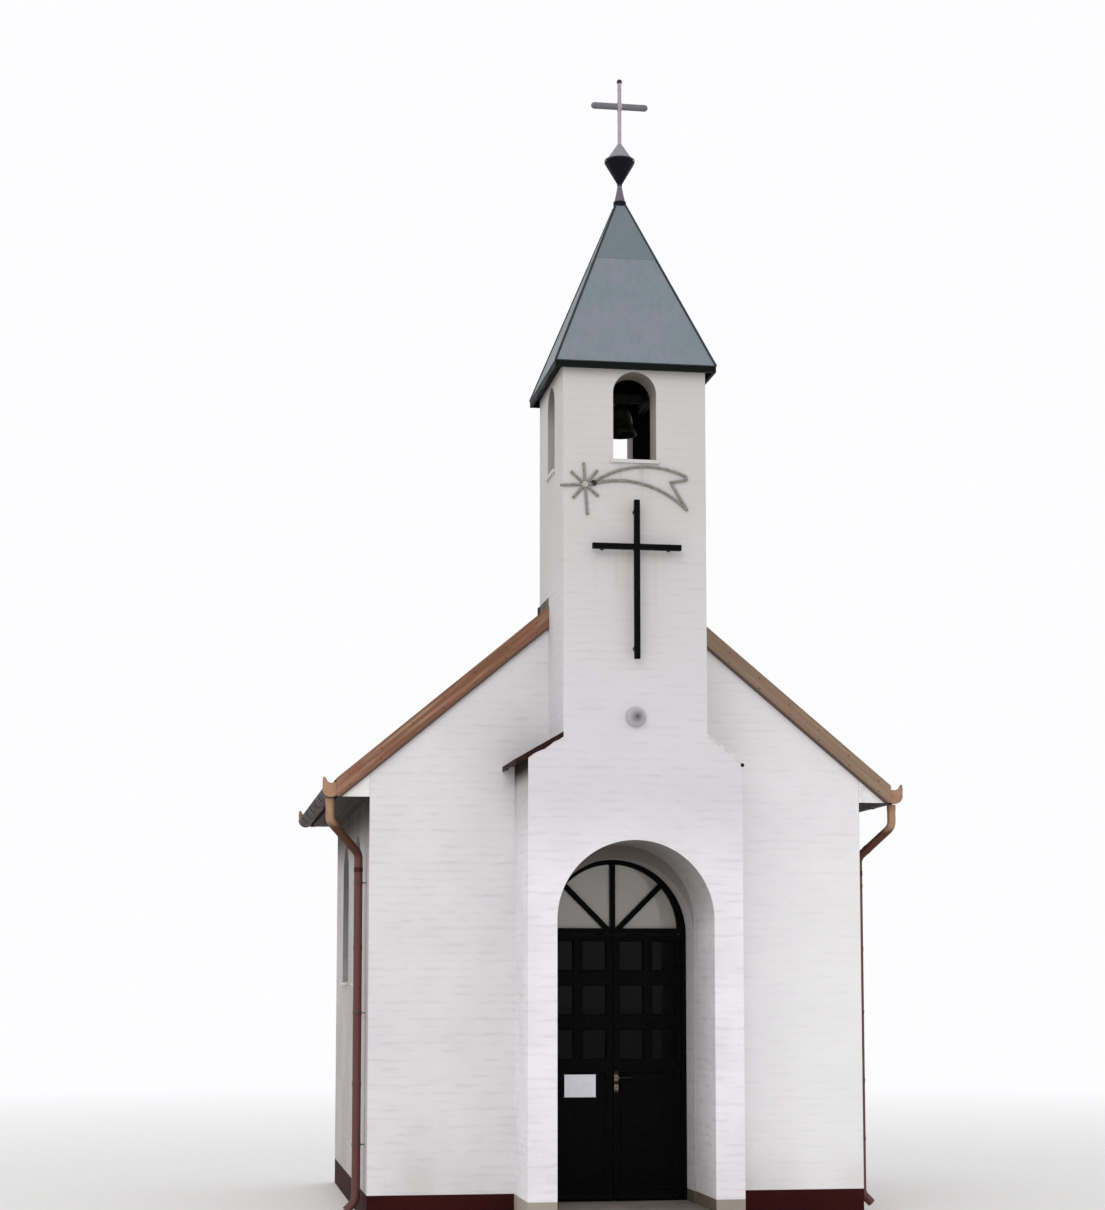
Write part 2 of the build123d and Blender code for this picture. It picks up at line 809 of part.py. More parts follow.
def door_leaf():
    """Right door leaf: a glazed upper part with six panes over a solid panel, with hinges."""
    near = leaf_meeting_gap / 2
    far = near + leaf_width
    leaf = block(near, far, leaf_face, leaf_back, leaf_bottom, leaf_top)
    for start, end in leaf_columns():
        for bottom in pane_rows_bottoms():
            leaf = leaf - block(start, end, leaf_face, leaf_back, bottom, bottom + pane_height)
    leaf = leaf - glass_pocket()
    panel_side = leaf_columns()[0][0]
    panel = block(
        panel_side,
        leaf_columns()[1][1],
        leaf_face,
        leaf_face + leaf_panel_recess,
        leaf_bottom + leaf_panel_margin,
        pane_bottom_level - leaf_panel_margin,
    )
    leaf = leaf - panel
    for level in hinge_levels:
        leaf = leaf + hinge_moving_half(level)
    return leaf


def glass_pocket():
    """Rebate in the back of the right leaf that takes its sheet of glass."""
    columns = leaf_columns()
    rows = pane_rows_bottoms()
    lap = glass_thickness
    return block(
        columns[0][0] - lap,
        columns[1][1] + lap,
        leaf_back - leaf_thickness / 2,
        leaf_back,
        rows[0] - lap,
        rows[-1] + pane_height + lap,
    )


def door_glass():
    """Sheet of glass seated in the rebate of the right leaf."""
    columns = leaf_columns()
    rows = pane_rows_bottoms()
    lap = glass_thickness - seat_clearance
    near = leaf_back - leaf_thickness / 2
    return block(
        columns[0][0] - lap,
        columns[1][1] + lap,
        near,
        near + glass_thickness,
        rows[0] - lap,
        rows[-1] + pane_height + lap,
    )


def handle_side():
    """Outer half of the handle on the right leaf: a long plate, a neck and a lever."""
    middle = (leaf_meeting_gap + meeting_stile_width) / 2
    plate = block(
        middle - handle_plate_width / 2,
        middle + handle_plate_width / 2,
        leaf_face - handle_plate_thickness,
        leaf_face,
        handle_level - handle_plate_drop,
        handle_level - handle_plate_drop + handle_plate_height,
    )
    radius = handle_lever_diameter / 2
    neck_start = leaf_face - handle_plate_thickness / 2
    neck_end = leaf_face - handle_plate_thickness - handle_neck_length
    route = [
        (middle, neck_start, handle_level),
        (middle, neck_end, handle_level),
        (middle + handle_lever_length, neck_end, handle_level),
    ]
    lever = tube_along(route, handle_lever_diameter)
    tip = Pos(*route[-1]) * Sphere(radius)
    return plate + lever + tip


def door_handle():
    """Handles on both faces of the right leaf."""
    outer = handle_side()
    inner = mirror(outer, about=Plane.XZ.offset(-(leaf_face + leaf_back) / 2))
    return Compound([outer, inner])


def window_frame(place):
    """Frame of one left window with a mullion, a cross bar and its sloping outer sill."""
    far = window_frame_setback + window_frame_depth
    half = window_width / 2 - seat_clearance
    low = window_sill_level
    frame = arch_prism(half, low, window_spring_level, window_frame_setback, far)
    opening = arch_prism(
        half - window_frame_width,
        low + sill_thickness + window_frame_width,
        window_spring_level,
        window_frame_setback,
        far,
    )
    frame = frame - opening
    bar_back = window_frame_setback + window_bar_depth
    crown = window_spring_level + half - window_frame_width / 2
    half_bar = window_bar_width / 2
    mullion = block(-half_bar, half_bar, window_frame_setback, bar_back, low, crown)
    inner = half - window_frame_width / 2
    cross = block(
        -inner,
        inner,
        window_frame_setback,
        bar_back,
        window_spring_level - half_bar,
        window_spring_level + half_bar,
    )
    sill = Plane.YZ.offset(-half) * Polyline(
        (window_frame_setback, low),
        (window_frame_setback, low + sill_thickness),
        (-sill_projection, low + sill_thickness / 2),
        (-sill_projection, low),
        close=True,
    )
    sill = extrude(make_face(sill), amount=2 * half, dir=(1, 0, 0))
    whole = frame + mullion + cross + sill
    return Pos(-half_nave, place, 0) * Rot(0, 0, -90) * whole


def window_glass(place):
    """Glass of one left window, behind its bars."""
    near = window_frame_setback + window_bar_depth
    pane = arch_prism(
        window_width / 2 - window_frame_width - 2 * seat_clearance,
        window_sill_level + sill_thickness + window_frame_width,
        window_spring_level,
        near,
        near + glass_thickness,
    )
    return Pos(-half_nave, place, 0) * Rot(0, 0, -90) * pane


def wall_cross():
    """Cross of square bar that stands off the tower's front on four pegs."""
    half = wall_cross_section / 2
    near = portal_face - wall_cross_standoff - wall_cross_section
    far = portal_face - wall_cross_standoff
    stem = block(-half, half, near, far, wall_cross_bottom, wall_cross_top)
    reach = wall_cross_bar_length / 2
    bar_low = wall_cross_bar_level - half
    bar = block(-reach, reach, near, far, bar_low, bar_low + wall_cross_section)
    cross = stem + bar
    inset = wall_cross_peg_inset
    pegs = [
        (0, wall_cross_top - inset),
        (0, wall_cross_bottom + inset),
        (inset - reach, wall_cross_bar_level),
        (reach - inset, wall_cross_bar_level),
    ]
    middle = portal_face - wall_cross_standoff / 2
    for x, z in pegs:
        peg = Cylinder(wall_cross_peg_diameter / 2, wall_cross_standoff)
        cross = cross + Pos(x, middle, z) * Rot(90, 0, 0) * peg
    return cross


def wall_lamp():
    """Round lamp on the tower's front: a drum with a domed glass."""
    base = Pos(0, portal_face - lamp_base_depth / 2, lamp_level) * Rot(90, 0, 0) * Cylinder(
        lamp_base_diameter / 2, lamp_base_depth
    )
    radius = lamp_diameter / 2
    rim = (radius, 0)
    bulge = (radius * cos(radians(45)), lamp_dome_depth * sin(radians(45)))
    curve = Spline(rim, bulge, (0, lamp_dome_depth), tangents=[(0, 1), (-1, 0)])
    outline = Curve([curve, Line((0, lamp_dome_depth), (0, 0)), Line((0, 0), rim)])
    dome = revolve(make_face((Plane.XZ * outline).edges()), axis=Axis.Z)
    dome = Pos(0, portal_face - lamp_base_depth, lamp_level) * Rot(90, 0, 0) * dome
    return base + dome


def comet_strokes():
    """Middle lines of the comet's tubes on the tower's front, from the centre of its head."""
    strokes = []
    for number, share in enumerate(comet_rays):
        turn = radians(360 / len(comet_rays) * number + comet_tilt)
        strokes.append(Line((0, 0), (share * cos(turn), share * sin(turn))))
    strokes.append(ThreePointArc(*comet_upper_tail))
    strokes.append(ThreePointArc(*comet_lower_tail))
    for start, end in zip(comet_notch, comet_notch[1:]):
        strokes.append(Line(start, end))
    return [stroke.scale(comet_tail_reach) for stroke in strokes]


def comet_star():
    """Comet ornament: a head of eight rays, a knot on the first, and a tail of bent tubes."""
    outline = Circle(comet_hub_diameter / 2)
    knot = Pos(comet_rays[0] * comet_tail_reach, comet_knot_rise)
    outline = outline + knot * Circle(comet_knot_diameter / 2)
    for stroke in comet_strokes():
        outline = outline + trace(stroke, line_width=comet_tube_diameter)
        for end in (stroke @ 0, stroke @ 1):
            outline = outline + Pos(end.X, end.Y) * Circle(comet_tube_diameter / 2)
    placed = Plane.XZ.offset(-portal_face) * Pos(comet_centre_x, comet_centre_level) * outline
    return extrude(placed, amount=comet_tube_diameter, dir=(0, -1, 0))


nodes = {
    "nave_floor": nave_floor(),
    "porch_floor": porch_floor(),
    "front_wall_left": front_wall_side(),
    "front_wall_right": mirrored(front_wall_side()),
    "front_wall_head": front_wall_head(),
    "gable_left": gable_side(),
    "gable_right": mirrored(gable_side()),
    "side_wall_left": side_wall(),
    "side_wall_right": mirrored(side_wall()),
    "back_wall": back_wall(),
    "portal_pier_left": portal_pier(),
    "portal_pier_right": mirrored(portal_pier()),
    "portal_vault": portal_vault(),
    "shoulder_cap_left": mirrored(shoulder_cap(shoulder_overhang_left)),
    "shoulder_cap_right": shoulder_cap(shoulder_overhang_right),
    "tower_shaft": tower_shaft(),
    "belfry_floor": belfry_floor(),
    "belfry_front": belfry_front(),
    "belfry_back": belfry_back(),
    "belfry_left": belfry_side(),
    "belfry_right": mirrored(belfry_side()),
    "bell_frame": bell_frame(),
    "bell": bell(),
    "spire": spire(),
    "finial": finial(),
    "spire_cross": spire_cross(),
    "roof_left": roof_side(),
    "roof_right": mirrored(roof_side()),
    "verge_front_left": verge_front(),
    "verge_front_right": mirrored(verge_front()),
    "verge_back": verge_back(),
    "eave_left": eave(),
    "eave_right": mirrored(eave()),
    "gutter_left": gutter(),
    "gutter_right": mirrored(gutter()),
    "downpipe_left": downpipe(),
    "downpipe_right": mirrored(downpipe()),
    "door_frame": door_frame(),
    "fanlight_glass": fanlight_glass(),
    "door_leaf_left": mirrored(door_leaf()),
    "door_leaf_right": door_leaf(),
    "door_glass_left": mirrored(door_glass()),
    "door_glass_right": door_glass(),
    "door_handle": door_handle(),
    "window_frames_left": Compound([window_frame(place) for place in window_places()]),
    "window_frames_right": Compound(
        [mirrored(window_frame(place)) for place in window_places()]
    ),
    "window_glass_left": Compound([window_glass(place) for place in window_places()]),
    "window_glass_right": Compound(
        [mirrored(window_glass(place)) for place in window_places()]
    ),
    "wall_cross": wall_cross(),
    "wall_lamp": wall_lamp(),
    "comet_star": comet_star(),
}

os.makedirs("parts", exist_ok=True)
for name, solid in nodes.items():
    export_step(solid, f"parts/{name}.step")
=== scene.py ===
"""Looks of the small whitewashed chapel: its finishes, tiles, sheet metal, glass and fittings."""

from math import atan2, cos, hypot, pi, radians, sin, tan

import bmesh
import bpy
from mathutils import Matrix, Vector


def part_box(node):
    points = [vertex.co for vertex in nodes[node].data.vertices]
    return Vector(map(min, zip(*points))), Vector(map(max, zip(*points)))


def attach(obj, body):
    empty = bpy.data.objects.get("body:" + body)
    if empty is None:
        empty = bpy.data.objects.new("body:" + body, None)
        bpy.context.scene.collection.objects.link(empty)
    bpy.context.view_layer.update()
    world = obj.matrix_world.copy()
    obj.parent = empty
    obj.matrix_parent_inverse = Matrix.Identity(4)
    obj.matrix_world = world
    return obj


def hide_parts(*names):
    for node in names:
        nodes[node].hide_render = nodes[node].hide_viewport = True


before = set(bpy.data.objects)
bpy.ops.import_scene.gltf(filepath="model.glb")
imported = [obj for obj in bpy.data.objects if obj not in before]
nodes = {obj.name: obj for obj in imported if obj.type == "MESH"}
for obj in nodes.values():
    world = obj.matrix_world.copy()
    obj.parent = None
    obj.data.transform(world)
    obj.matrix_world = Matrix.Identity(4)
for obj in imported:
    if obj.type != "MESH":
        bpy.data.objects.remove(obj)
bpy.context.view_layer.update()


# Floors of the nave, the passage and the threshold
# Concrete cast between the walls, struck off and trowelled smooth with a steel float.
# It is grey-brown, clouded where the float pressed the cement up, and worn paler by feet.
def linear(hex_colour):
    """An sRGB colour of six hex digits as linear red, green, blue and alpha."""
    channels = [int(hex_colour[i : i + 2], 16) / 255 for i in (0, 2, 4)]
    return (*[c / 12.92 if c <= 0.04045 else ((c + 0.055) / 1.055) ** 2.4 for c in channels], 1.0)


def wire(node, inputs):
    """Gives a node's inputs their values, or links them to the nodes or sockets that feed them."""
    for key, given in inputs.items():
        for value in given if isinstance(given, list) else [given]:
            if isinstance(value, bpy.types.Node):
                value = next(socket for socket in value.outputs if socket.enabled)
            if isinstance(value, bpy.types.NodeSocket):
                node.id_data.links.new(value, node.inputs[key])
            else:
                node.inputs[key].default_value = value


def add(tree, kind, inputs=None, **settings):
    """Adds a node to a tree with its settings, and its inputs set or linked."""
    node = tree.nodes.new(kind)
    for name, value in settings.items():
        setattr(node, name, value)
    wire(node, inputs or {})
    return node


def surface(name, roughness, metallic=0.0):
    """A new material: itself, its tree, its shader and the object coordinates for its patterns."""
    material = bpy.data.materials.new(name)
    material.use_nodes = True
    tree = material.node_tree
    shader = tree.nodes["Principled BSDF"]
    wire(shader, {"Roughness": roughness, "Metallic": metallic})
    return material, tree, shader, add(tree, "ShaderNodeTexCoord").outputs["Object"]


def coats(tree, base, *layers):
    """A base colour with others laid over it in turn, each by the share that its mask gives."""
    colour = linear(base)
    for mask, over in layers:
        inputs = {0: mask, 6: colour, 7: linear(over)}
        colour = add(tree, "ShaderNodeMix", inputs, data_type="RGBA")
    return colour


def paint(material, *names):
    """Gives nodes of the frame their finish."""
    for name in names:
        for place in nodes[name].material_slots:
            place.material = material


def trowelled_concrete():
    """Concrete floor: clouds 350 mm wide, specks of sand and a float's shallow ripples."""
    material, tree, shader, place = surface("trowelled_concrete", 0.8)
    clouds = add(tree, "ShaderNodeTexNoise", {"Vector": place, "Scale": 1 / 0.35, "Detail": 5.0})
    sand = add(tree, "ShaderNodeTexNoise", {"Vector": place, "Scale": 1 / 0.008, "Detail": 2.0})
    dark = add(tree, "ShaderNodeMapRange", {0: clouds, 1: 0.35, 2: 0.7})
    speck = add(tree, "ShaderNodeMapRange", {0: sand, 1: 0.6, 2: 0.75, 4: 0.5})
    wire(shader, {"Base Color": coats(tree, "8D857C", (dark, "746C63"), (speck, "A39B90"))})
    ripple = add(tree, "ShaderNodeBump", {"Height": clouds, "Distance": 0.004, "Strength": 0.6})
    grain = {"Height": sand, "Distance": 0.0006, "Normal": ripple}
    wire(shader, {"Normal": add(tree, "ShaderNodeBump", grain)})
    return material


paint(trowelled_concrete(), "nave_floor", "porch_floor")


# Walls of the nave, the portal and the tower
# Brick under lime render, floated by hand and limewashed in level strokes of a wide brush.
# It is matt and off-white, with faint drag marks, rain runs and a band of paint at the ground.
half_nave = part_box("back_wall")[1].x
nave_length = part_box("back_wall")[1].y
half_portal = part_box("portal_vault")[1].x
half_passage = 0.715
passage_spring = 2.737
tower_low, tower_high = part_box("tower_shaft")
tower_middle = (tower_low.y + tower_high.y) / 2
chamber_low, chamber_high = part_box("belfry_floor")
band_top = 0.26
eave_level = 3.88
shoulder_level = 4.12
window_from_end = 1.4
window_half = 0.4
window_sill = 2.15
window_spring = 3.2
belfry_half = 0.2
belfry_sill = 6.92
belfry_spring = 7.535
wall_cross_bar = 6.1


def lime_render(name, low, high, levels, marks):
    """Limewash over brick, bed joints 75 mm apart: one tone low down, another high, and marks."""
    material, tree, shader, place = surface(name, 0.92)
    wire(shader, {"Specular IOR Level": 0.2})
    axes = add(tree, "ShaderNodeSeparateXYZ", {0: place})
    sway = add(tree, "ShaderNodeTexNoise", {"Vector": place, "Scale": 1 / 0.2, "Detail": 2.0})
    level = {0: sway, 1: 0.05, 2: axes.outputs["Z"]}
    level = add(tree, "ShaderNodeMath", level, operation="MULTIPLY_ADD")
    across = add(tree, "ShaderNodeMath", {0: axes.outputs["X"], 1: axes.outputs["Y"]})
    flat = add(tree, "ShaderNodeCombineXYZ", {0: across, 1: level})
    bricks = {"Vector": flat, "Scale": 1.0, "Mortar Size": 0.008, "Mortar Smooth": 1.0}
    bricks |= {"Brick Width": 0.22, "Row Height": 0.075}
    bricks = add(tree, "ShaderNodeTexBrick", bricks, offset=0.5).outputs["Fac"]
    perpends = add(tree, "ShaderNodeMath", {0: bricks, 1: 0.3}, operation="MULTIPLY")
    beds = add(tree, "ShaderNodeMath", {0: level, 1: 0.0375}, operation="PINGPONG")
    beds = {0: beds, 1: 0.021, 2: 0.0}
    beds = add(tree, "ShaderNodeMapRange", beds, interpolation_type="SMOOTHSTEP")
    joints = add(tree, "ShaderNodeMath", {0: beds, 1: perpends}, operation="MAXIMUM")
    drag = {"Vector": place, "Scale": (1 / 0.28, 1 / 0.28, 1 / 0.06)}
    drag = add(tree, "ShaderNodeMapping", drag)
    strokes = {"Vector": drag, "Scale": 1.0, "Detail": 3.0, "Roughness": 0.6}
    strokes = add(tree, "ShaderNodeTexNoise", strokes)
    patches = add(tree, "ShaderNodeMapRange", {0: strokes, 1: 0.42, 2: 0.66})
    joints = add(tree, "ShaderNodeMath", {0: joints, 1: patches}, operation="MULTIPLY")
    runs = {"Vector": place, "Scale": (1 / 0.045, 1 / 0.045, 1 / 0.9)}
    runs = add(tree, "ShaderNodeMapping", runs)
    runs = add(tree, "ShaderNodeTexNoise", {"Vector": runs, "Scale": 1.0, "Detail": 4.0})
    clouds = add(tree, "ShaderNodeTexNoise", {"Vector": place, "Scale": 1 / 0.7, "Detail": 4.0})
    grit = add(tree, "ShaderNodeTexNoise", {"Vector": place, "Scale": 1 / 0.006, "Detail": 2.0})
    line = add(tree, "ShaderNodeMath", {0: joints, 1: 0.2}, operation="MULTIPLY")
    thin = add(tree, "ShaderNodeMapRange", {0: strokes, 1: 0.5, 2: 0.75, 4: 0.22})
    shade = add(tree, "ShaderNodeMapRange", {0: clouds, 1: 0.4, 2: 0.75, 4: 0.5})
    rising = add(tree, "ShaderNodeMapRange", {0: axes.outputs["Z"], 1: levels[0], 2: levels[1]})
    layers = [(rising, high), (shade, "D2D0D2"), (thin, "CBC8CA"), (line, "B5B1B3")]
    layers += marks(tree, axes, runs, clouds)
    wire(shader, {"Base Color": coats(tree, low, *layers)})
    normal = None
    reliefs = ((clouds, 0.006, False), (joints, 0.0013, True), (grit, 0.0006, False))
    for height, deep, inwards in reliefs:
        relief = {"Height": height, "Distance": deep}
        if normal:
            relief["Normal"] = normal
        normal = add(tree, "ShaderNodeBump", relief, invert=inwards)
    wire(shader, {"Normal": normal})
    return material


def reveal(tree, axes, offset, radius, spring):
    """Mask of the faces inside a round-headed opening, from the offset to its middle line."""
    rise = add(tree, "ShaderNodeMath", {0: axes.outputs["Z"], 1: spring}, operation="SUBTRACT")
    rise = add(tree, "ShaderNodeMath", {0: rise, 1: 0.0}, operation="MAXIMUM")
    flat = add(tree, "ShaderNodeCombineXYZ", {0: offset, 1: rise})
    reach = add(tree, "ShaderNodeVectorMath", {0: flat}, operation="LENGTH").outputs["Value"]
    return add(tree, "ShaderNodeMapRange", {0: reach, 1: radius + 0.0015, 2: radius + 0.001})


def product(tree, *masks):
    """The product of several masks."""
    result = masks[0]
    for mask in masks[1:]:
        result = add(tree, "ShaderNodeMath", {0: result, 1: mask}, operation="MULTIPLY")
    return result


def nave_marks(tree, axes, runs, clouds):
    """Oxblood band, darker streaks up to the eaves, painted shade at the sides and in the openings,
    painted light front right.
    """
    across = add(tree, "ShaderNodeMath", {0: axes.outputs["X"]}, operation="ABSOLUTE")
    depth = axes.outputs["Y"]
    level = axes.outputs["Z"]
    edge = 0.002
    side = add(tree, "ShaderNodeMapRange", {0: across, 1: half_nave - edge, 2: half_nave - edge / 2})
    front = add(tree, "ShaderNodeMapRange", {0: depth, 1: edge, 2: edge / 2})
    beyond = add(tree, "ShaderNodeMapRange", {0: across, 1: half_portal - edge, 2: half_portal})
    doorway = add(tree, "ShaderNodeMapRange", {0: depth, 1: nave_length / 2, 2: nave_length / 2 - edge})
    doorway = product(tree, doorway, reveal(tree, axes, across, half_passage, passage_spring))
    # Painted shade: the front face's 12 mm strip inside the doorway is greyed to the jamb's shade.
    rebate_shade = product(tree, front, doorway)
    # Painted shade up in the doorway's vault, deepening towards its crown.
    crown = {0: level, 1: passage_spring - 0.1, 2: passage_spring + half_passage, 4: 0.75}
    crown = add(tree, "ShaderNodeMapRange", crown)
    aside = add(tree, "ShaderNodeMath", {0: depth, 1: nave_length / 2}, operation="SUBTRACT")
    aside = add(tree, "ShaderNodeMath", {0: aside}, operation="ABSOLUTE")
    aside = {0: aside, 1: nave_length / 2 - window_from_end}
    aside = add(tree, "ShaderNodeMath", aside, operation="SUBTRACT")
    # Painted shade in the window reveals, deeper towards their heads.
    shade_and_grime = {0: level, 1: window_sill, 2: window_spring + 0.1, 3: 0.6, 4: 0.9}
    shade_and_grime = add(tree, "ShaderNodeMapRange", shade_and_grime)
    above = {0: level, 1: window_sill + 0.005, 2: window_sill + 0.006}
    above = add(tree, "ShaderNodeMapRange", above)
    window = product(tree, reveal(tree, axes, aside, window_half, window_spring), shade_and_grime, above)
    front = product(tree, front, beyond)
    # Painted light: the front wall right of the portal is lightened, less so higher up.
    painted_light_right = {0: axes.outputs["X"], 1: half_portal, 2: half_portal + 0.3}
    painted_light_right = add(tree, "ShaderNodeMapRange", painted_light_right)
    painted_light_fade = add(tree, "ShaderNodeMapRange", {0: level, 1: 2.0, 2: 4.6, 3: 0.5, 4: 0.15})
    back = add(tree, "ShaderNodeMapRange", {0: depth, 1: nave_length - edge, 2: nave_length - edge / 2})
    outside = add(tree, "ShaderNodeMath", {0: front, 1: back}, operation="MAXIMUM")
    outside = add(tree, "ShaderNodeMath", {0: outside, 1: side}, operation="MAXIMUM")
    low = add(tree, "ShaderNodeMapRange", {0: level, 1: band_top + 0.004, 2: band_top})
    splash = add(tree, "ShaderNodeMapRange", {0: level, 1: 0.9, 2: 0.2, 4: 0.5})
    # Darker streaks on the side walls, thickening up towards the eaves.
    darker_band = {0: level, 1: eave_level - 0.63, 2: eave_level - 0.08}
    darker_band = add(tree, "ShaderNodeMapRange", darker_band, interpolation_type="SMOOTHSTEP")
    streak = add(tree, "ShaderNodeMapRange", {0: runs, 1: 0.3, 2: 0.6, 3: 0.85})
    # Painted shade on the side walls, in soft clouds.
    dull = add(tree, "ShaderNodeMapRange", {0: clouds, 1: 0.3, 2: 0.7, 3: 0.4, 4: 0.55})
    worn = add(tree, "ShaderNodeMapRange", {0: clouds, 1: 0.45, 2: 0.7, 4: 0.5})
    return [
        (rebate_shade, "A3A0A1"),
        (product(tree, doorway, crown), "584B3A"),
        # Painted shade on the band inside the doorway.
        (product(tree, doorway, low), "6B5F53"),
        (window, "63676C"),
        (product(tree, front, painted_light_right, painted_light_fade), "FFFFFF"),
        (product(tree, outside, splash, worn), "B9B2A6"),
        (product(tree, side, dull), "8C8178"),
        (product(tree, side, darker_band, streak), "292517"),
        (product(tree, outside, low), "300806"),
        (product(tree, outside, low, worn), "40100C"),
    ]


def portal_marks(tree, axes, runs, clouds):
    """Grey-beige band on the piers, brown runs and painted shade under the rusted cap, painted shade in
    the passage, deepest up in the vault.
    """
    across = axes.outputs["X"]
    level = axes.outputs["Z"]
    low = add(tree, "ShaderNodeMapRange", {0: level, 1: band_top + 0.004, 2: band_top})
    worn = add(tree, "ShaderNodeMapRange", {0: clouds, 1: 0.4, 2: 0.7, 4: 0.6})
    flank = {0: across, 1: -half_portal + 0.002, 2: -half_portal + 0.001}
    flank = add(tree, "ShaderNodeMapRange", flank)
    olive = {0: level, 1: shoulder_level - 0.62, 2: shoulder_level - 0.07, 4: 0.7}
    olive = add(tree, "ShaderNodeMapRange", olive)
    # Rust stain and painted shade under the cap's overhang, darkest just below it.
    brown = {0: level, 1: shoulder_level - 0.19, 2: shoulder_level}
    brown = add(tree, "ShaderNodeMapRange", brown, interpolation_type="SMOOTHSTEP")
    streak = add(tree, "ShaderNodeMapRange", {0: runs, 1: 0.35, 2: 0.65, 3: 0.4})
    vault = reveal(tree, axes, across, half_passage, passage_spring)
    # Painted shade up in the passage's vault, deepening towards its crown.
    crown = {0: level, 1: passage_spring - 0.1, 2: passage_spring + half_passage, 4: 0.75}
    crown = add(tree, "ShaderNodeMapRange", crown)
    return [
        (product(tree, vault, crown), "584B3A"),
        (low, "A79E92"),
        (product(tree, low, worn), "8F867A"),
        # Painted shade on the band inside the passage.
        (product(tree, low, vault), "75695C"),
        (product(tree, flank, olive, streak), "8E8D82"),
        (product(tree, flank, brown), "2C1E17"),
    ]


def tower_marks(tree, axes, runs, _):
    """Grey runs under the belfry's sills, tan ones below the cross's bar, painted shade in the openings
    and, near black, in the bell chamber.
    """
    level = axes.outputs["Z"]
    across = add(tree, "ShaderNodeMath", {0: axes.outputs["X"]}, operation="ABSOLUTE")
    rising = add(tree, "ShaderNodeMapRange", {0: level, 1: belfry_sill - 0.62, 2: belfry_sill - 0.04})
    shaft = add(tree, "ShaderNodeMapRange", {0: level, 1: tower_high.z + 0.002, 2: tower_high.z})
    streak = add(tree, "ShaderNodeMapRange", {0: runs, 1: 0.5, 2: 0.75, 4: 0.7})
    near = add(tree, "ShaderNodeMapRange", {0: across, 1: 0.45, 2: 0.2})
    foot = {0: level, 1: wall_cross_bar - 0.8, 2: wall_cross_bar - 0.03}
    foot = add(tree, "ShaderNodeMapRange", foot)
    under = {0: level, 1: wall_cross_bar - 0.02, 2: wall_cross_bar - 0.03, 4: 0.5}
    under = add(tree, "ShaderNodeMapRange", under)
    depth = {0: axes.outputs["Y"], 1: tower_middle}
    depth = add(tree, "ShaderNodeMath", depth, operation="SUBTRACT")
    depth = add(tree, "ShaderNodeMath", {0: depth}, operation="ABSOLUTE")
    lateral = add(tree, "ShaderNodeMath", {0: across, 1: depth}, operation="MINIMUM")
    # Painted shade in the belfry's openings, deepening towards their crowns.
    above = {0: level, 1: belfry_sill + 0.0005, 2: belfry_sill + 0.001, 4: 0.6}
    above = add(tree, "ShaderNodeMapRange", above)
    opening = product(tree, reveal(tree, axes, lateral, belfry_half, belfry_spring), above)
    crown = {0: level, 1: belfry_spring - 0.135, 2: belfry_spring + 0.165}
    crown = add(tree, "ShaderNodeMapRange", crown)
    below = {0: lateral, 1: belfry_half + 0.14, 2: belfry_half - 0.02}
    below = add(tree, "ShaderNodeMapRange", below)
    # Painted shade: the bell chamber's inner faces are near black.
    chamber = []
    half_width, half_depth = chamber_high.x, (chamber_high.y - chamber_low.y) / 2
    for off, half in ((across, half_width), (depth, half_depth)):
        chamber.append(add(tree, "ShaderNodeMapRange", {0: off, 1: half + 0.002, 2: half + 0.001}))
    return [
        (opening, "9C968D"),
        (product(tree, opening, crown), "57493A"),
        (product(tree, *chamber), "0D0B0A"),
        (product(tree, rising, shaft, streak, below), "A9A69E"),
        (product(tree, foot, under, near, streak), "B8AC96"),
    ]


nave_render = lime_render("lime_render_nave", "E4E2E3", "E0DEDF", (3.4, 5.6), nave_marks)
paint(
    nave_render,
    "front_wall_left",
    "front_wall_right",
    "front_wall_head",
    "gable_left",
    "gable_right",
    "side_wall_left",
    "side_wall_right",
    "back_wall",
)
portal_render = lime_render("lime_render_portal", "F2F0F2", "DAD7DA", (2.9, tower_low.z), portal_marks)
paint(portal_render, "portal_pier_left", "portal_pier_right", "portal_vault")
tower_render = lime_render("lime_render_tower", "DAD7DA", "CAC8C5", (4.6, 6.6), tower_marks)
belfry_walls = ["belfry_front", "belfry_back", "belfry_left", "belfry_right"]
paint(tower_render, "tower_shaft", "belfry_floor", *belfry_walls)


# Shoulder caps of the portal
# Thin sheet over a mortar slope, nailed at the tower and folded down at the drip edge.
# The left one is old bare tin, black-brown with rust; the right one was painted white.
def settle(name, mesh, material, body, slot, *replaced):
    """Puts a finished mesh in place as a piece, smooth but for its sharp edges."""
    mesh.shade_smooth()
    mesh.set_sharp_from_angle(angle=radians(32))
    if material:
        mesh.materials.clear()
        mesh.materials.append(material)
    piece = bpy.data.objects.new(name, mesh)
    bpy.context.scene.collection.objects.link(piece)
    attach(piece, body)
    if replaced:
        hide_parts(*replaced)
    return piece


def plain_mesh(name, bm):
    """The mesh that the work ends in, its faces outwards."""
    bmesh.ops.recalc_face_normals(bm, faces=bm.faces)
    mesh = bpy.data.meshes.new(name)
    bm.to_mesh(mesh)
    bm.free()
    return mesh


def shaped(name, bm, *settling):
    """Closes the work on a mesh: doubles merged, faces outwards, set in place as a piece."""
    bmesh.ops.remove_doubles(bm, verts=bm.verts, dist=0.00002)
    return settle(name, plain_mesh(name, bm), *settling)


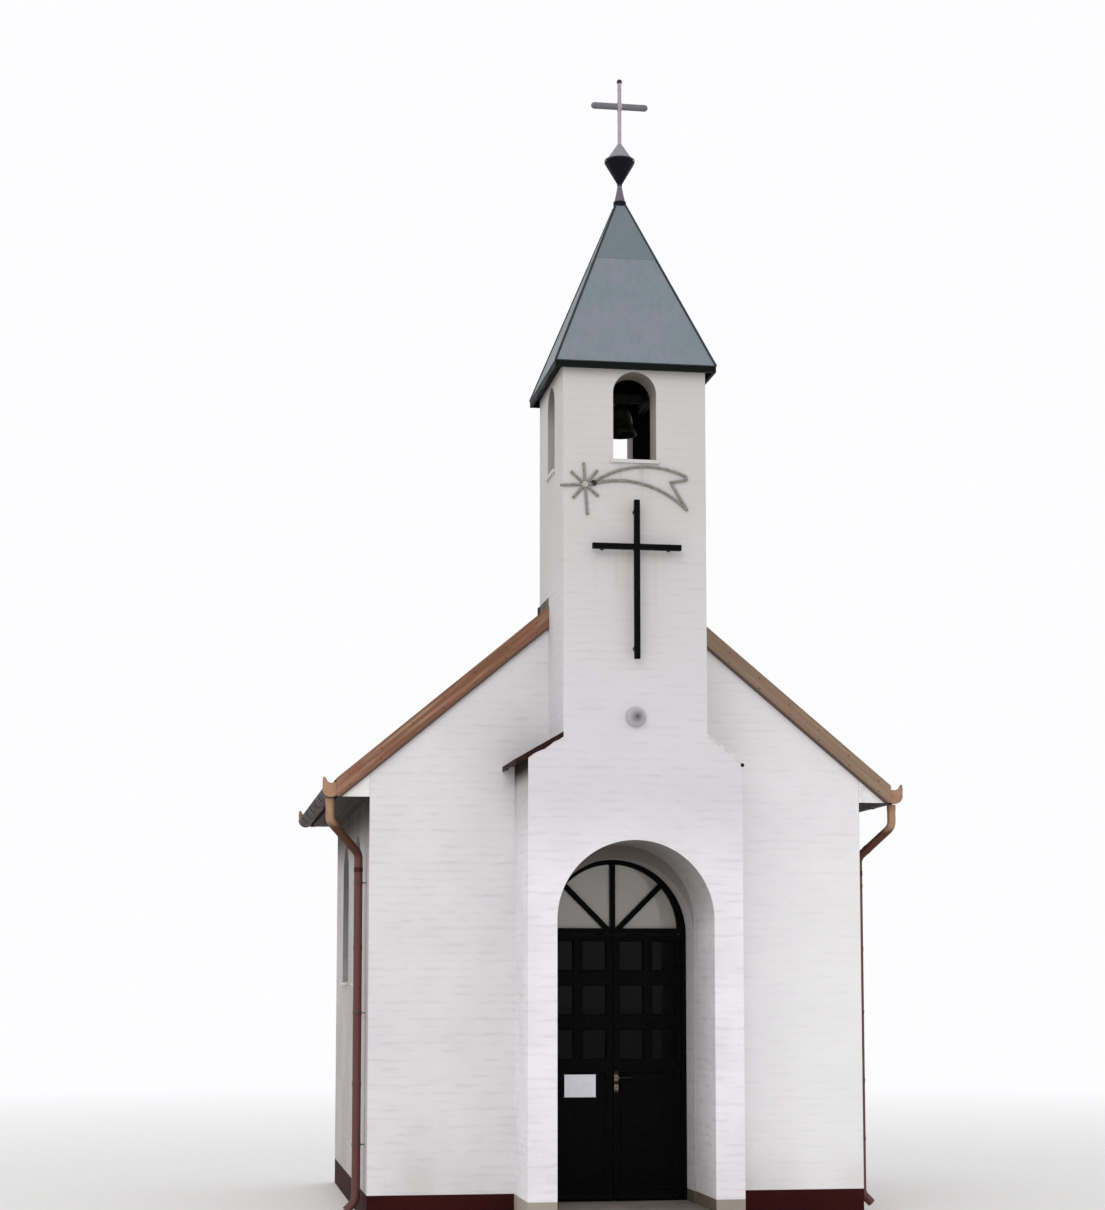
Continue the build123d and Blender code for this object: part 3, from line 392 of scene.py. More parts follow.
def lofted(bm, rings, looped=False):
    """A closed solid through rings of as many points each: capped at its ends, or a closed loop."""
    loops = [[bm.verts.new(point) for point in ring] for ring in rings]
    if looped:
        loops.append(loops[0])
    else:
        bm.faces.new(loops[0])
        bm.faces.new(loops[-1][::-1])
    for under, over in zip(loops, loops[1:]):
        for start in range(len(under)):
            end = (start + 1) % len(under)
            bm.faces.new((under[start], over[start], over[end], under[end]))


def prism(bm, outline, along):
    """A closed solid: a flat outline of points carried along a vector."""
    lofted(bm, [outline, [Vector(point) + Vector(along) for point in outline]])


def turned(bm, outline, place, segments=24):
    """A closed round solid: an outline of radius and height, turned about its place's Z axis."""
    rings = []
    for radius, height in outline:
        if rings and (radius, height) == outline[0]:
            rings.append(rings[0])
            continue
        count = segments if radius > 0 else 1
        turns = [2 * pi * step / segments for step in range(count)]
        points = [Vector((radius * cos(turn), radius * sin(turn), height)) for turn in turns]
        rings.append([bm.verts.new(place @ point) for point in points] * (segments // count))
    for under, over in zip(rings, rings[1:]):
        for step in range(segments):
            after = (step + 1) % segments
            corners = dict.fromkeys((under[step], under[after], over[after], over[step]))
            if len(corners) > 2:
                bm.faces.new(list(corners))


def facing(place, direction):
    """The matrix of a place whose Z axis points in a direction."""
    return Matrix.Translation(place) @ Vector(direction).to_track_quat("Z", "Y").to_matrix().to_4x4()


def coated(name, base, worn, roughness, cloud, dent, metallic=0.0, specular=0.5):
    """A coated surface with clouds of wear of a given size, and dents of a given depth, in metres."""
    material, tree, shader, place = surface(name, roughness, metallic)
    wire(shader, {"Specular IOR Level": specular})
    clouds = {"Vector": place, "Scale": 1 / cloud, "Detail": 6.0, "Roughness": 0.6}
    clouds = add(tree, "ShaderNodeTexNoise", clouds)
    mask = add(tree, "ShaderNodeMapRange", {0: clouds, 1: 0.42, 2: 0.68})
    gloss = {0: clouds, 1: 0.3, 2: 0.7, 3: roughness - 0.06, 4: roughness + 0.1}
    bump = {"Height": clouds, "Distance": dent}
    wire(shader, {
        "Base Color": coats(tree, base, (mask, worn)),
        "Roughness": add(tree, "ShaderNodeMapRange", gloss),
        "Normal": add(tree, "ShaderNodeBump", bump),
    })
    return material


nail_head = [(0, 0.0045), (0.004, 0.004), (0.0065, 0.0015), (0.007, 0), (0.006, -0.001), (0, -0.001)]
cap_depth = 0.026
cap_hem = 0.004
hem_gap = 0.0001


def shoulder_trim(name, node, material, side, slot, drops):
    """Hem folded down over a cap's front and drip edges by uneven drops, and nails at the tower."""
    low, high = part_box(node)
    inner, outer = (high.x, low.x) if side < 0 else (low.x, high.x)
    fall = (high.z - low.z - cap_depth) / abs(outer - inner)
    bm = bmesh.new()
    slope = Vector((outer - inner, 0, -abs(outer - inner) * fall))
    start = Vector((inner, low.y, high.z))
    corner = start + slope + Vector((side * hem_gap, -cap_hem, 0))
    depth = Vector((0, high.y - low.y + cap_hem, 0))
    top = Vector((0, 0, cap_hem))
    for foot, run, out, falls in (
        (start, slope, Vector((0, -cap_hem, 0)), drops),
        (corner, depth, Vector((side * cap_hem, 0, 0)), drops[::-1]),
    ):
        rings = []
        for number, drop in enumerate(falls):
            place = foot + run * number / (len(falls) - 1)
            hang = Vector((0, 0, -drop))
            rings.append([place + top, place + top + out, place + out + hang, place + hang])
        lofted(bm, rings)
    nails = 6
    from_tower = 0.03
    for number in range(nails):
        depth = low.y + (number + 0.5) / nails * (high.y - low.y)
        point = (inner + side * from_tower, depth, high.z - from_tower * fall)
        turned(bm, nail_head, facing(point, (side * fall, 0, 1)), 10)
    shaped(name, bm, material, "building", slot)


# Bare tin, rolled and long rusted: black-brown with redder clouds 50 mm wide, and hardly a shine.
old_tin = coated("old_tin_rusted", "1B1210", "3A1C10", 0.75, 0.05, 0.0012, specular=0.15)
# Oil paint brushed on tin: a flat white, greyer in patches where it chalks.
white_tin = coated("tin_painted_white", "DAD8D6", "C3BFBA", 0.6, 0.06, 0.001)
paint(old_tin, "shoulder_cap_left")
paint(white_tin, "shoulder_cap_right")
bent = (0.042, 0.046, 0.04, 0.05, 0.056, 0.047, 0.042, 0.048, 0.056, 0.06, 0.056)
shoulder_trim("shoulder_hem_left", "shoulder_cap_left", old_tin, -1, "dark_sheet", bent)
even = (0.018, 0.017, 0.018, 0.019, 0.018)
shoulder_trim("shoulder_hem_right", "shoulder_cap_right", white_tin, 1, "white_sheet", even)
low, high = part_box("shoulder_cap_right")
bm = bmesh.new()
curl = [(0, -0.004), (0.012, -0.004), (0.019, 0.002), (0.02, 0.014), (0.016, 0.024)]
curl += [(0.008, 0.028), (0, 0.028)]
turned(bm, curl, facing((high.x - 0.012, low.y + 0.02, low.z + 0.004), (0, -1, 0)), 14)
shaped("shoulder_drip_right", bm, old_tin, "building", "dark_sheet")


# Tiles of the roof
# Round-ended plain tiles of fired clay, hung on battens in courses that break joint.
# They are dark brown and matt, no two quite alike, and each tail stands up on the course below.
roof_pitch = radians(39.8)
ridge_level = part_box("roof_left")[1].z
roof_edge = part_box("roof_right")[1].x
roof_depth = 0.115
half_tower = tower_high.x
tower_back = tower_high.y
tile_width = 0.172
tile_gap = 0.004
tile_length = 0.3
tile_tail = 0.0473
tile_thickness = 0.012
tile_exposure = 0.155
tile_overhang = 0.012
tile_bed = 0.018
tile_lift = 0.0248


def roof_top(x):
    """Level of the boarded roof at a distance x from the ridge."""
    return ridge_level - abs(x) * tan(roof_pitch)


def geometry_rule(name, sizes):
    """A geometry tree with a named input for each size, and its group input node."""
    kinds = {float: "Float", int: "Int", bool: "Bool", Vector: "Vector", bpy.types.Material: "Material"}
    tree = bpy.data.node_groups.new(name, "GeometryNodeTree")
    for way in ("INPUT", "OUTPUT"):
        tree.interface.new_socket("Shape", in_out=way, socket_type="NodeSocketGeometry")
    for label, value in sizes.items():
        kind = "NodeSocket" + kinds[type(value)]
        tree.interface.new_socket(label, in_out="INPUT", socket_type=kind).default_value = value
    return tree, add(tree, "NodeGroupInput").outputs


def made_by(tree, shape, sizes, wall=0.0):
    """The plain mesh that a geometry tree makes of a start mesh, made hollow where it has a wall."""
    start = bpy.data.objects.new(tree.name, shape)
    bpy.context.scene.collection.objects.link(start)
    modifier = start.modifiers.new(tree.name, "NODES")
    modifier.node_group = tree
    for item in tree.interface.items_tree:
        if item.in_out == "INPUT" and item.name in sizes:
            modifier[item.identifier] = sizes[item.name]
    if wall:
        shell = start.modifiers.new("wall", "SOLIDIFY")
        shell.thickness = wall
        shell.offset = -1
    graph = bpy.context.evaluated_depsgraph_get()
    mesh = bpy.data.meshes.new_from_object(start.evaluated_get(graph), depsgraph=graph)
    bpy.data.objects.remove(start)
    return mesh


def plain_tile():
    """One tile, its head at the origin and its round tail down the slope, along X."""
    half = tile_width / 2
    round_start = tile_length - tile_tail
    outline = [Vector((0, -half, 0)), Vector((round_start, -half, 0))]
    steps = 8
    for step in range(1, steps):
        turn = pi * step / steps
        outline.append(Vector((round_start + tile_tail * sin(turn), -half * cos(turn), 0)))
    outline += [Vector((round_start, half, 0)), Vector((0, half, 0))]
    bm = bmesh.new()
    prism(bm, outline, (0, 0, tile_thickness))
    return plain_mesh("plain_tile", bm)


def tile_courses(sizes):
    """Tree that hangs the start mesh in staggered courses down one slope, clear of the tower."""
    tree, size = geometry_rule("tile_courses", sizes)
    rows = add(tree, "ShaderNodeMath", {0: size["Courses"], 1: 1.0}, operation="SUBTRACT")
    across = add(tree, "ShaderNodeMath", {0: size["Columns"], 1: 1.0}, operation="SUBTRACT")
    fall = add(tree, "ShaderNodeMath", {0: rows, 1: size["Exposure"]}, operation="MULTIPLY")
    width = add(tree, "ShaderNodeMath", {0: across, 1: size["Gauge"]}, operation="MULTIPLY")
    grid = {0: fall, 1: width, 2: size["Courses"], 3: size["Columns"]}
    grid = add(tree, "GeometryNodeMeshGrid", grid)
    half_fall = {0: fall, 1: 0.5, 2: size["Head"]}
    half_fall = add(tree, "ShaderNodeMath", half_fall, operation="MULTIPLY_ADD")
    half_width = add(tree, "ShaderNodeMath", {0: width, 1: 0.5}, operation="MULTIPLY")
    corner = add(tree, "ShaderNodeCombineXYZ", {0: half_fall, 1: half_width})
    grid = add(tree, "GeometryNodeSetPosition", {"Geometry": grid, "Offset": corner})
    place = add(tree, "ShaderNodeSeparateXYZ", {0: add(tree, "GeometryNodeInputPosition")})
    row = add(tree, "ShaderNodeMath", {0: place.outputs["X"], 1: size["Head"]}, operation="SUBTRACT")
    row = add(tree, "ShaderNodeMath", {0: row, 1: size["Exposure"]}, operation="DIVIDE")
    row = add(tree, "ShaderNodeMath", {0: row}, operation="ROUND")
    odd = add(tree, "ShaderNodeMath", {0: row, 1: 2.0}, operation="MODULO")
    odd = add(tree, "ShaderNodeMath", {0: odd, 1: size["Gauge"]}, operation="MULTIPLY")
    odd = add(tree, "ShaderNodeMath", {0: odd, 1: 0.5}, operation="MULTIPLY")
    stagger = add(tree, "ShaderNodeCombineXYZ", {1: odd})
    hung = add(tree, "GeometryNodeSetPosition", {"Geometry": grid, "Offset": stagger})
    notch = add(tree, "ShaderNodeSeparateXYZ", {0: size["Notch"]})
    beside = {0: place.outputs["X"], 1: notch.outputs["X"]}
    beside = add(tree, "ShaderNodeMath", beside, operation="LESS_THAN")
    before = {0: place.outputs["Y"], 1: notch.outputs["Y"]}
    before = add(tree, "ShaderNodeMath", before, operation="LESS_THAN")
    inside = add(tree, "ShaderNodeMath", {0: beside, 1: before}, operation="MULTIPLY")
    hung = add(tree, "GeometryNodeDeleteGeometry", {"Geometry": hung, "Selection": inside})
    spin = add(tree, "FunctionNodeRandomValue", {"Seed": size["Seed"]}, data_type="FLOAT_VECTOR")
    wire(spin, {0: (-0.004, -0.006, -0.012), 1: (0.004, 0.006, 0.012)})
    lift = add(tree, "ShaderNodeCombineXYZ", {1: size["Lift"]})
    turn = add(tree, "ShaderNodeVectorMath", {0: spin, 1: lift}, operation="SUBTRACT")
    tiles = {"Points": hung, "Instance": size["Shape"], "Rotation": turn}
    tiles = add(tree, "GeometryNodeInstanceOnPoints", tiles)
    tone = add(tree, "FunctionNodeRandomValue", {"Seed": size["Seed"]}, data_type="FLOAT")
    kept = {"Geometry": tiles, "Name": "tone", "Value": tone}
    kept = add(tree, "GeometryNodeStoreNamedAttribute", kept, data_type="FLOAT", domain="INSTANCE")
    loose = add(tree, "GeometryNodeRealizeInstances", {"Geometry": kept})
    cut = {"Value": place.outputs["Y"], "Min": 0.0, "Max": size["Depth"]}
    cut = add(tree, "ShaderNodeClamp", cut)
    sunk = {0: place.outputs["Z"], 1: size["Bed"]}
    sunk = add(tree, "ShaderNodeMath", sunk, operation="SUBTRACT")
    spot = add(tree, "ShaderNodeCombineXYZ", {0: place.outputs["X"], 1: cut, 2: sunk})
    laid = add(tree, "GeometryNodeSetPosition", {"Geometry": loose, "Position": spot})
    slope = add(tree, "ShaderNodeCombineXYZ", {1: size["Pitch"]})
    height = add(tree, "ShaderNodeCombineXYZ", {2: size["Ridge"]})
    laid = {"Geometry": laid, "Translation": height, "Rotation": slope}
    laid = add(tree, "GeometryNodeTransform", laid)
    side = add(tree, "ShaderNodeCombineXYZ", {0: size["Side"], 1: 1.0, 2: 1.0})
    laid = add(tree, "GeometryNodeTransform", {"Geometry": laid, "Scale": side})
    left = add(tree, "ShaderNodeMath", {0: size["Side"], 1: 0.0}, operation="LESS_THAN")
    laid = add(tree, "GeometryNodeFlipFaces", {"Mesh": laid, "Selection": left})
    laid = add(tree, "GeometryNodeMergeByDistance", {"Geometry": laid, "Distance": 0.0001})
    done = add(tree, "GeometryNodeSetMaterial", {"Geometry": laid, "Material": size["Clay"]})
    add(tree, "NodeGroupOutput", {0: done})
    return tree


def fired_clay():
    """Fired clay: each tile its own brown, sanded matt face, grey-green lichen in patches."""
    material, tree, shader, place = surface("fired_clay_tile", 0.85)
    tone = add(tree, "ShaderNodeAttribute", attribute_name="tone").outputs["Fac"]
    bake = add(tree, "ShaderNodeTexNoise", {"Vector": place, "Scale": 1 / 0.12, "Detail": 4.0})
    grit = add(tree, "ShaderNodeTexNoise", {"Vector": place, "Scale": 1 / 0.004, "Detail": 2.0})
    moss = add(tree, "ShaderNodeTexNoise", {"Vector": place, "Scale": 1 / 0.5, "Detail": 8.0})
    dark = add(tree, "ShaderNodeMapRange", {0: bake, 1: 0.4, 2: 0.7, 4: 0.6})
    grown = add(tree, "ShaderNodeMapRange", {0: moss, 1: 0.58, 2: 0.72, 4: 0.55})
    layers = [(tone, "4A2D24"), (dark, "3B2620"), (grown, "5B5A4A")]
    wire(shader, {"Base Color": coats(tree, "5E3B2E", *layers)})
    wire(shader, {"Normal": add(tree, "ShaderNodeBump", {"Height": grit, "Distance": 0.0008})})
    return material


clay = fired_clay()
slope_length = roof_edge / cos(roof_pitch)
course_count = int((slope_length - tile_length) / tile_exposure) + 1
slope_sizes = {
    "Gauge": tile_width + tile_gap,
    "Exposure": tile_exposure,
    "Columns": int(nave_length / (tile_width + tile_gap)) + 1,
    "Courses": course_count,
    "Head": slope_length + tile_overhang - tile_length - (course_count - 1) * tile_exposure,
    "Depth": nave_length,
    "Bed": tile_bed,
    "Lift": atan2(tile_lift, tile_length),
    "Pitch": roof_pitch,
    "Ridge": ridge_level,
    "Notch": Vector((half_tower / cos(roof_pitch) - tile_length, tower_back, 0)),
    "Side": 1.0,
    "Seed": 1,
    "Clay": clay,
}
courses = tile_courses(slope_sizes)
for side, label, seed in ((-1, "left", 3), (1, "right", 8)):
    mesh = made_by(courses, plain_tile(), slope_sizes | {"Side": float(side), "Seed": seed})
    settle(f"roof_tiles_{label}", mesh, None, "building", "roof_tile")
# Boards under the tiles, dark and matt: painted shade that deepens the gaps between the tiles.
gap_shade_boards = coated("roof_boards_gap_shade", "2E2621", "1E1916", 0.85, 0.1, 0.002)
paint(gap_shade_boards, "roof_left", "roof_right")


# Ridge and flashings
# Half-round clay tiles bedded in mortar along the ridge, each collar over the tail before it.
# Where the roof meets the tower, soft zinc sheet is dressed up the wall and out over the tiles.
ridge_radius = 0.115
ridge_collar = 0.011
ridge_tile = 0.38
ridge_lap = 0.045
ridge_overhang = 0.03
ridge_pitch = 0.352
ridge_centre = ridge_level - 0.09
half_turn = [pi * step / 12 for step in range(13)]


def ridge_section(radius, depth):
    """The half ring of a ridge tile at a place along it, open below."""
    inner = radius - tile_thickness
    points = [(radius * cos(turn), radius * sin(turn)) for turn in half_turn]
    points += [(inner * cos(turn), inner * sin(turn)) for turn in half_turn[::-1]]
    return [Vector((x, depth, z)) for x, z in points]


def row_tree():
    """Tree that sets the start mesh in a row between two points, each turned by a little chance."""
    sizes = {"From": Vector((0, 0, 0)), "To": Vector((0, 1, 0)), "Count": 10, "Sway": 0.01}
    sizes |= {"Seed": 1, "Finish": clay}
    tree, size = geometry_rule("set_in_a_row", sizes)
    line = {"Count": size["Count"], "Start Location": size["From"], "Offset": size["To"]}
    line = add(tree, "GeometryNodeMeshLine", line, mode="END_POINTS", count_mode="TOTAL")
    sway = add(tree, "ShaderNodeMath", {0: size["Sway"], 1: -1.0}, operation="MULTIPLY")
    turn = add(tree, "FunctionNodeRandomValue", {"Seed": size["Seed"]}, data_type="FLOAT_VECTOR")
    wire(turn, {0: sway, 1: size["Sway"]})
    row = {"Points": line, "Instance": size["Shape"], "Rotation": turn}
    row = add(tree, "GeometryNodeInstanceOnPoints", row)
    row = add(tree, "GeometryNodeRealizeInstances", {"Geometry": row})
    row = add(tree, "GeometryNodeSetMaterial", {"Geometry": row, "Material": size["Finish"]})
    add(tree, "NodeGroupOutput", {0: row})
    return tree


bm = bmesh.new()
cover = ridge_tile - ridge_lap
sections = [(0, 0), (0, cover), (ridge_collar, cover + 0.004), (ridge_collar, ridge_tile)]
lofted(bm, [ridge_section(ridge_radius + more, depth) for more, depth in sections])
ridge_row = {
    "From": Vector((0, tower_back - 0.02, ridge_centre)),
    "To": Vector((0, nave_length + ridge_overhang - ridge_tile, ridge_centre)),
    "Count": int((nave_length - tower_back) / ridge_pitch) + 1,
    "Sway": 0.006,
    "Seed": 2,
    "Finish": clay,
}
in_a_row = row_tree()
ridge = made_by(in_a_row, plain_mesh("ridge_tile", bm), ridge_row)
settle("ridge_tiles", ridge, None, "building", "roof_tile")

bm = bmesh.new()
mortar_radius = 0.88 * ridge_radius
mortar_width = 0.05
plug = [Vector((mortar_radius * cos(turn), 0, mortar_radius * sin(turn))) for turn in half_turn]
for depth in (nave_length - 0.03, tower_back):
    prism(bm, [point + Vector((0, depth, ridge_centre)) for point in plug], (0, mortar_width, 0))
# Lime and cement mortar, struck off with a trowel: grey and matt, darker in small clouds of damp.
mortar = coated("bedding_mortar", "9C968C", "7E776C", 0.9, 0.03, 0.002)
shaped("ridge_mortar", bm, mortar, "building", "roof_tile")

# Old zinc sheet, dressed by mallet: a dull brown-grey sheen in wide clouds, with shallow dents.
zinc = coated("zinc_sheet_dark", "4E4A49", "3A3533", 0.6, 0.12, 0.0015, metallic=0.5)
sheet = 0.002
upstand = 0.09
apron = 0.13
over_tiles = 0.021
bm = bmesh.new()
fall = tan(roof_pitch)
for side in (-1, 1):
    wall = half_tower + sheet
    foot = roof_top(wall) + over_tiles / cos(roof_pitch)
    tail = wall + apron * cos(roof_pitch)
    level = roof_top(tail) + over_tiles / cos(roof_pitch)
    outline = [(half_tower, foot + upstand), (wall, foot + upstand), (wall, foot + sheet)]
    outline += [(tail, level + sheet), (tail, level), (half_tower, foot - sheet)]
    outline = [Vector((side * x, 0.0, z)) for x, z in outline]
    prism(bm, outline, (0, tower_back + 0.02, 0))
    top = ridge_level + over_tiles / cos(roof_pitch)
    outline = [(tower_back, upstand), (tower_back + sheet, upstand), (tower_back + sheet, sheet)]
    outline += [(tower_back + apron, sheet), (tower_back + apron, 0.0), (tower_back, 0.0)]
    outline = [Vector((0, y, top + z)) for y, z in outline]
    prism(bm, outline, (side * (wall + 0.02), 0, -(wall + 0.02) * fall))
shaped("tower_flashing", bm, zinc, "building", "roof_tile")


# Verge boards
# Larch planks, planed and stained brown, cut to the slope and nailed to the battens' ends.
# The sun has bleached them to tan in bands, and the lower edge is darker.
verge_board = 0.155
verge_thickness = 0.035
verge_top = 0.015
strip_rise = 0.022
strip_lap = 0.03


def stained_larch(name, base, late, weathered):
    """Stained planks: grain lines 6 mm and bleached bands 40 mm apart, and a darker lower edge."""
    material, tree, shader, place = surface(name, 0.7)
    axes = add(tree, "ShaderNodeSeparateXYZ", {0: place})
    across = add(tree, "ShaderNodeMath", {0: axes.outputs["X"]}, operation="ABSOLUTE")
    folded = {0: across, 1: axes.outputs["Y"], 2: axes.outputs["Z"]}
    folded = add(tree, "ShaderNodeCombineXYZ", folded)
    along = {"Vector": folded, "Rotation": (0, roof_pitch, 0)}
    along = add(tree, "ShaderNodeMapping", along, vector_type="TEXTURE")
    depth = add(tree, "ShaderNodeSeparateXYZ", {0: along}).outputs["Z"]
    grain = {"Vector": along, "Scale": (1 / 0.4, 1 / 0.02, 1 / 0.006)}
    grain = add(tree, "ShaderNodeMapping", grain)
    grain = add(tree, "ShaderNodeTexNoise", {"Vector": grain, "Scale": 1.0, "Detail": 5.0})
    bands = add(tree, "ShaderNodeMapping", {"Vector": along, "Scale": (1 / 0.9, 1 / 0.03, 1 / 0.04)})
    bands = add(tree, "ShaderNodeTexNoise", {"Vector": bands, "Scale": 1.0, "Detail": 3.0})
    stain = add(tree, "ShaderNodeTexNoise", {"Vector": place, "Scale": 1 / 0.7, "Detail": 3.0})
    foot = ridge_level * cos(roof_pitch) + verge_top - verge_board
    # The board's lower edge is darker.
    darker_band = add(tree, "ShaderNodeMapRange", {0: depth, 1: foot + 0.026, 2: foot + 0.018})
    lines = add(tree, "ShaderNodeMapRange", {0: grain, 1: 0.4, 2: 0.62, 4: 0.6})
    bleached = add(tree, "ShaderNodeMapRange", {0: bands, 1: 0.47, 2: 0.62, 4: 0.7})
    red = add(tree, "ShaderNodeMapRange", {0: stain, 1: 0.48, 2: 0.62, 4: 0.6})
    right = add(tree, "ShaderNodeMapRange", {0: axes.outputs["X"], 1: 0.3, 2: 0.7, 4: 0.6})
    front = add(tree, "ShaderNodeMapRange", {0: axes.outputs["Y"], 1: 0.1, 2: 0.05})
    layers = [(lines, late), (bleached, weathered), (red, "80493A")]
    layers += [(product(tree, right, front), "8C7A66"), (darker_band, "4F3E35")]
    wire(shader, {"Base Color": coats(tree, base, *layers)})
    wire(shader, {"Normal": add(tree, "ShaderNodeBump", {"Height": grain, "Distance": 0.0008})})
    return material


larch = stained_larch("stained_larch", "7E5439", "62402E", "AC8C72")
paint(larch, "verge_front_left", "verge_front_right", "verge_back")
bm = bmesh.new()
front_strip = (-verge_thickness, strip_lap, half_tower)
back_strip = (nave_length - strip_lap, nave_length + verge_thickness, 0.0)
for side in (-1, 1):
    for front, back, inner in (front_strip, back_strip):
        run = Vector((side * (roof_edge - inner), 0, -(roof_edge - inner) * fall))
        low = roof_top(inner) + (verge_top + 0.0002) / cos(roof_pitch)
        high = roof_top(inner) + strip_rise / cos(roof_pitch)
        start = [(front, low), (front, high - 0.003), (front + 0.003, high), (back, high), (back, low)]
        prism(bm, [Vector((side * inner, y, z)) for y, z in start], run)
shaped("verge_strips", bm, larch, "building", "verge_wood")

bm = bmesh.new()
nails = 7
nail_inset = 0.12
nailed = roof_edge - half_tower - 2 * nail_inset
for side in (-1, 1):
    for number in range(nails):
        x = half_tower + nail_inset + number / (nails - 1) * nailed
        for drop in (0.04, 0.115):
            level = roof_top(x) + (verge_top - drop) / cos(roof_pitch)
            turned(bm, nail_head, facing((side * x, -verge_thickness, level), (0, -1, 0)), 8)
# Cut steel nails, rusted brown: matt dots, darker where the rust has run.
rusty = coated("rusted_nail_steel", "5A3A28", "3A241A", 0.8, 0.01, 0.0005)
shaped("verge_nails", bm, rusty, "building", "verge_wood")


# Boxed eaves
# Tongued spruce boards, three to the soffit, their arrises eased, and a planed fascia, all brown-black
# as painted shade.
# The boards that close the two ends are painted white, slightly glossy from many old coats.
def timber(bm, low, high, arris=0.002):
    """A straight board between two corners, its long edges eased by an arris."""
    spans = [high[axis] - low[axis] for axis in range(3)]
    long_axis = spans.index(max(spans))
    others = [axis for axis in range(3) if axis != long_axis]
    outline = []
    for u, v in ((0, 0), (1, 0), (1, 1), (0, 1)):
        near = [(arris if end == 0 else -arris) for end in (u, v)]
        cut = [(near[0], 0.0), (0.0, near[1])] if u == v else [(0.0, near[1]), (near[0], 0.0)]
        for move in cut:
            point = [0.0, 0.0, 0.0]
            point[long_axis] = low[long_axis]
            for axis, end, by in zip(others, (u, v), move):
                point[axis] = (high if end else low)[axis] + by
            outline.append(Vector(point))
    along = [0.0, 0.0, 0.0]
    along[long_axis] = spans[long_axis]
    prism(bm, outline, along)


# Oil paint brushed on planed boards: white, with a soft gloss in broad patches.
white_paint = coated("white_gloss_paint", "F0EFEE", "DEDDDB", 0.4, 0.08, 0.0005)
# Spruce, brown-black and dull as painted shade, so the boxing sinks into the shadow under the roof.
soffit_shade_boards = coated("spruce_soffit_shade", "2F241C", "211913", 0.7, 0.05, 0.001, specular=0.2)
fascia = 0.03
box_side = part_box("eave_right")[1].x - fascia
end_board = 0.03
board_count = 3
board_arris = 0.004
for side, label in ((-1, "left"), (1, "right")):
    bm = bmesh.new()
    width = (box_side - half_nave) / board_count
    near, far = 0.012, nave_length - 0.012
    for number in range(board_count):
        left, right = sorted(side * (half_nave + width * (number + end)) for end in (0, 1))
        timber(bm, (left, near, eave_level + 0.001), (right, far, eave_level + 0.02), board_arris)
    outline = [(box_side, eave_level), (box_side + fascia, eave_level)]
    outline += [(box_side + fascia, eave_level + 0.11), (box_side, eave_level + 0.134)]
    prism(bm, [Vector((side * x, 0.0, z)) for x, z in outline], (0, nave_length, 0))
    shaped(f"eave_boards_{label}", bm, soffit_shade_boards, "building", "verge_wood")
    bm = bmesh.new()
    under = [ridge_level - x * fall - roof_depth / cos(roof_pitch) for x in (half_nave, box_side)]
    outline = [(box_side, eave_level), (half_nave, eave_level)]
    outline += [(half_nave, under[0]), (box_side, under[1])]
    for front in (0.0, nave_length - end_board):
        prism(bm, [Vector((side * x, front, z)) for x, z in outline], (0, end_board, 0))
    shaped(f"eave_ends_{label}", bm, white_paint, "building", "white_board", f"eave_{label}")
    paint(white_paint, f"eave_{label}")


# Gutters and downpipes
# Copper sheet bent half-round with a rolled bead, soldered stop ends, hung in straps.
# It is tan where it is new and brown where it has aged, the gutter's run near black as painted shade;
# the pipe was painted mauve-brown.
gutter_x = 2.68
gutter_level = 3.95
gutter_radius = 0.075
bead_radius = 0.007
end_radius = 0.071
end_plate = 0.006
pipe_radius = 0.04
pipe_x = 2.4
pipe_depth = 0.31
drop_depth = 0.12
drop_level = 3.87
neck_top = 3.66
neck_foot = 3.37
collar_level = 3.22
collar_height = 0.045
shoe_top = 0.19
shoe_foot = 0.1
shoe_reach = 0.09


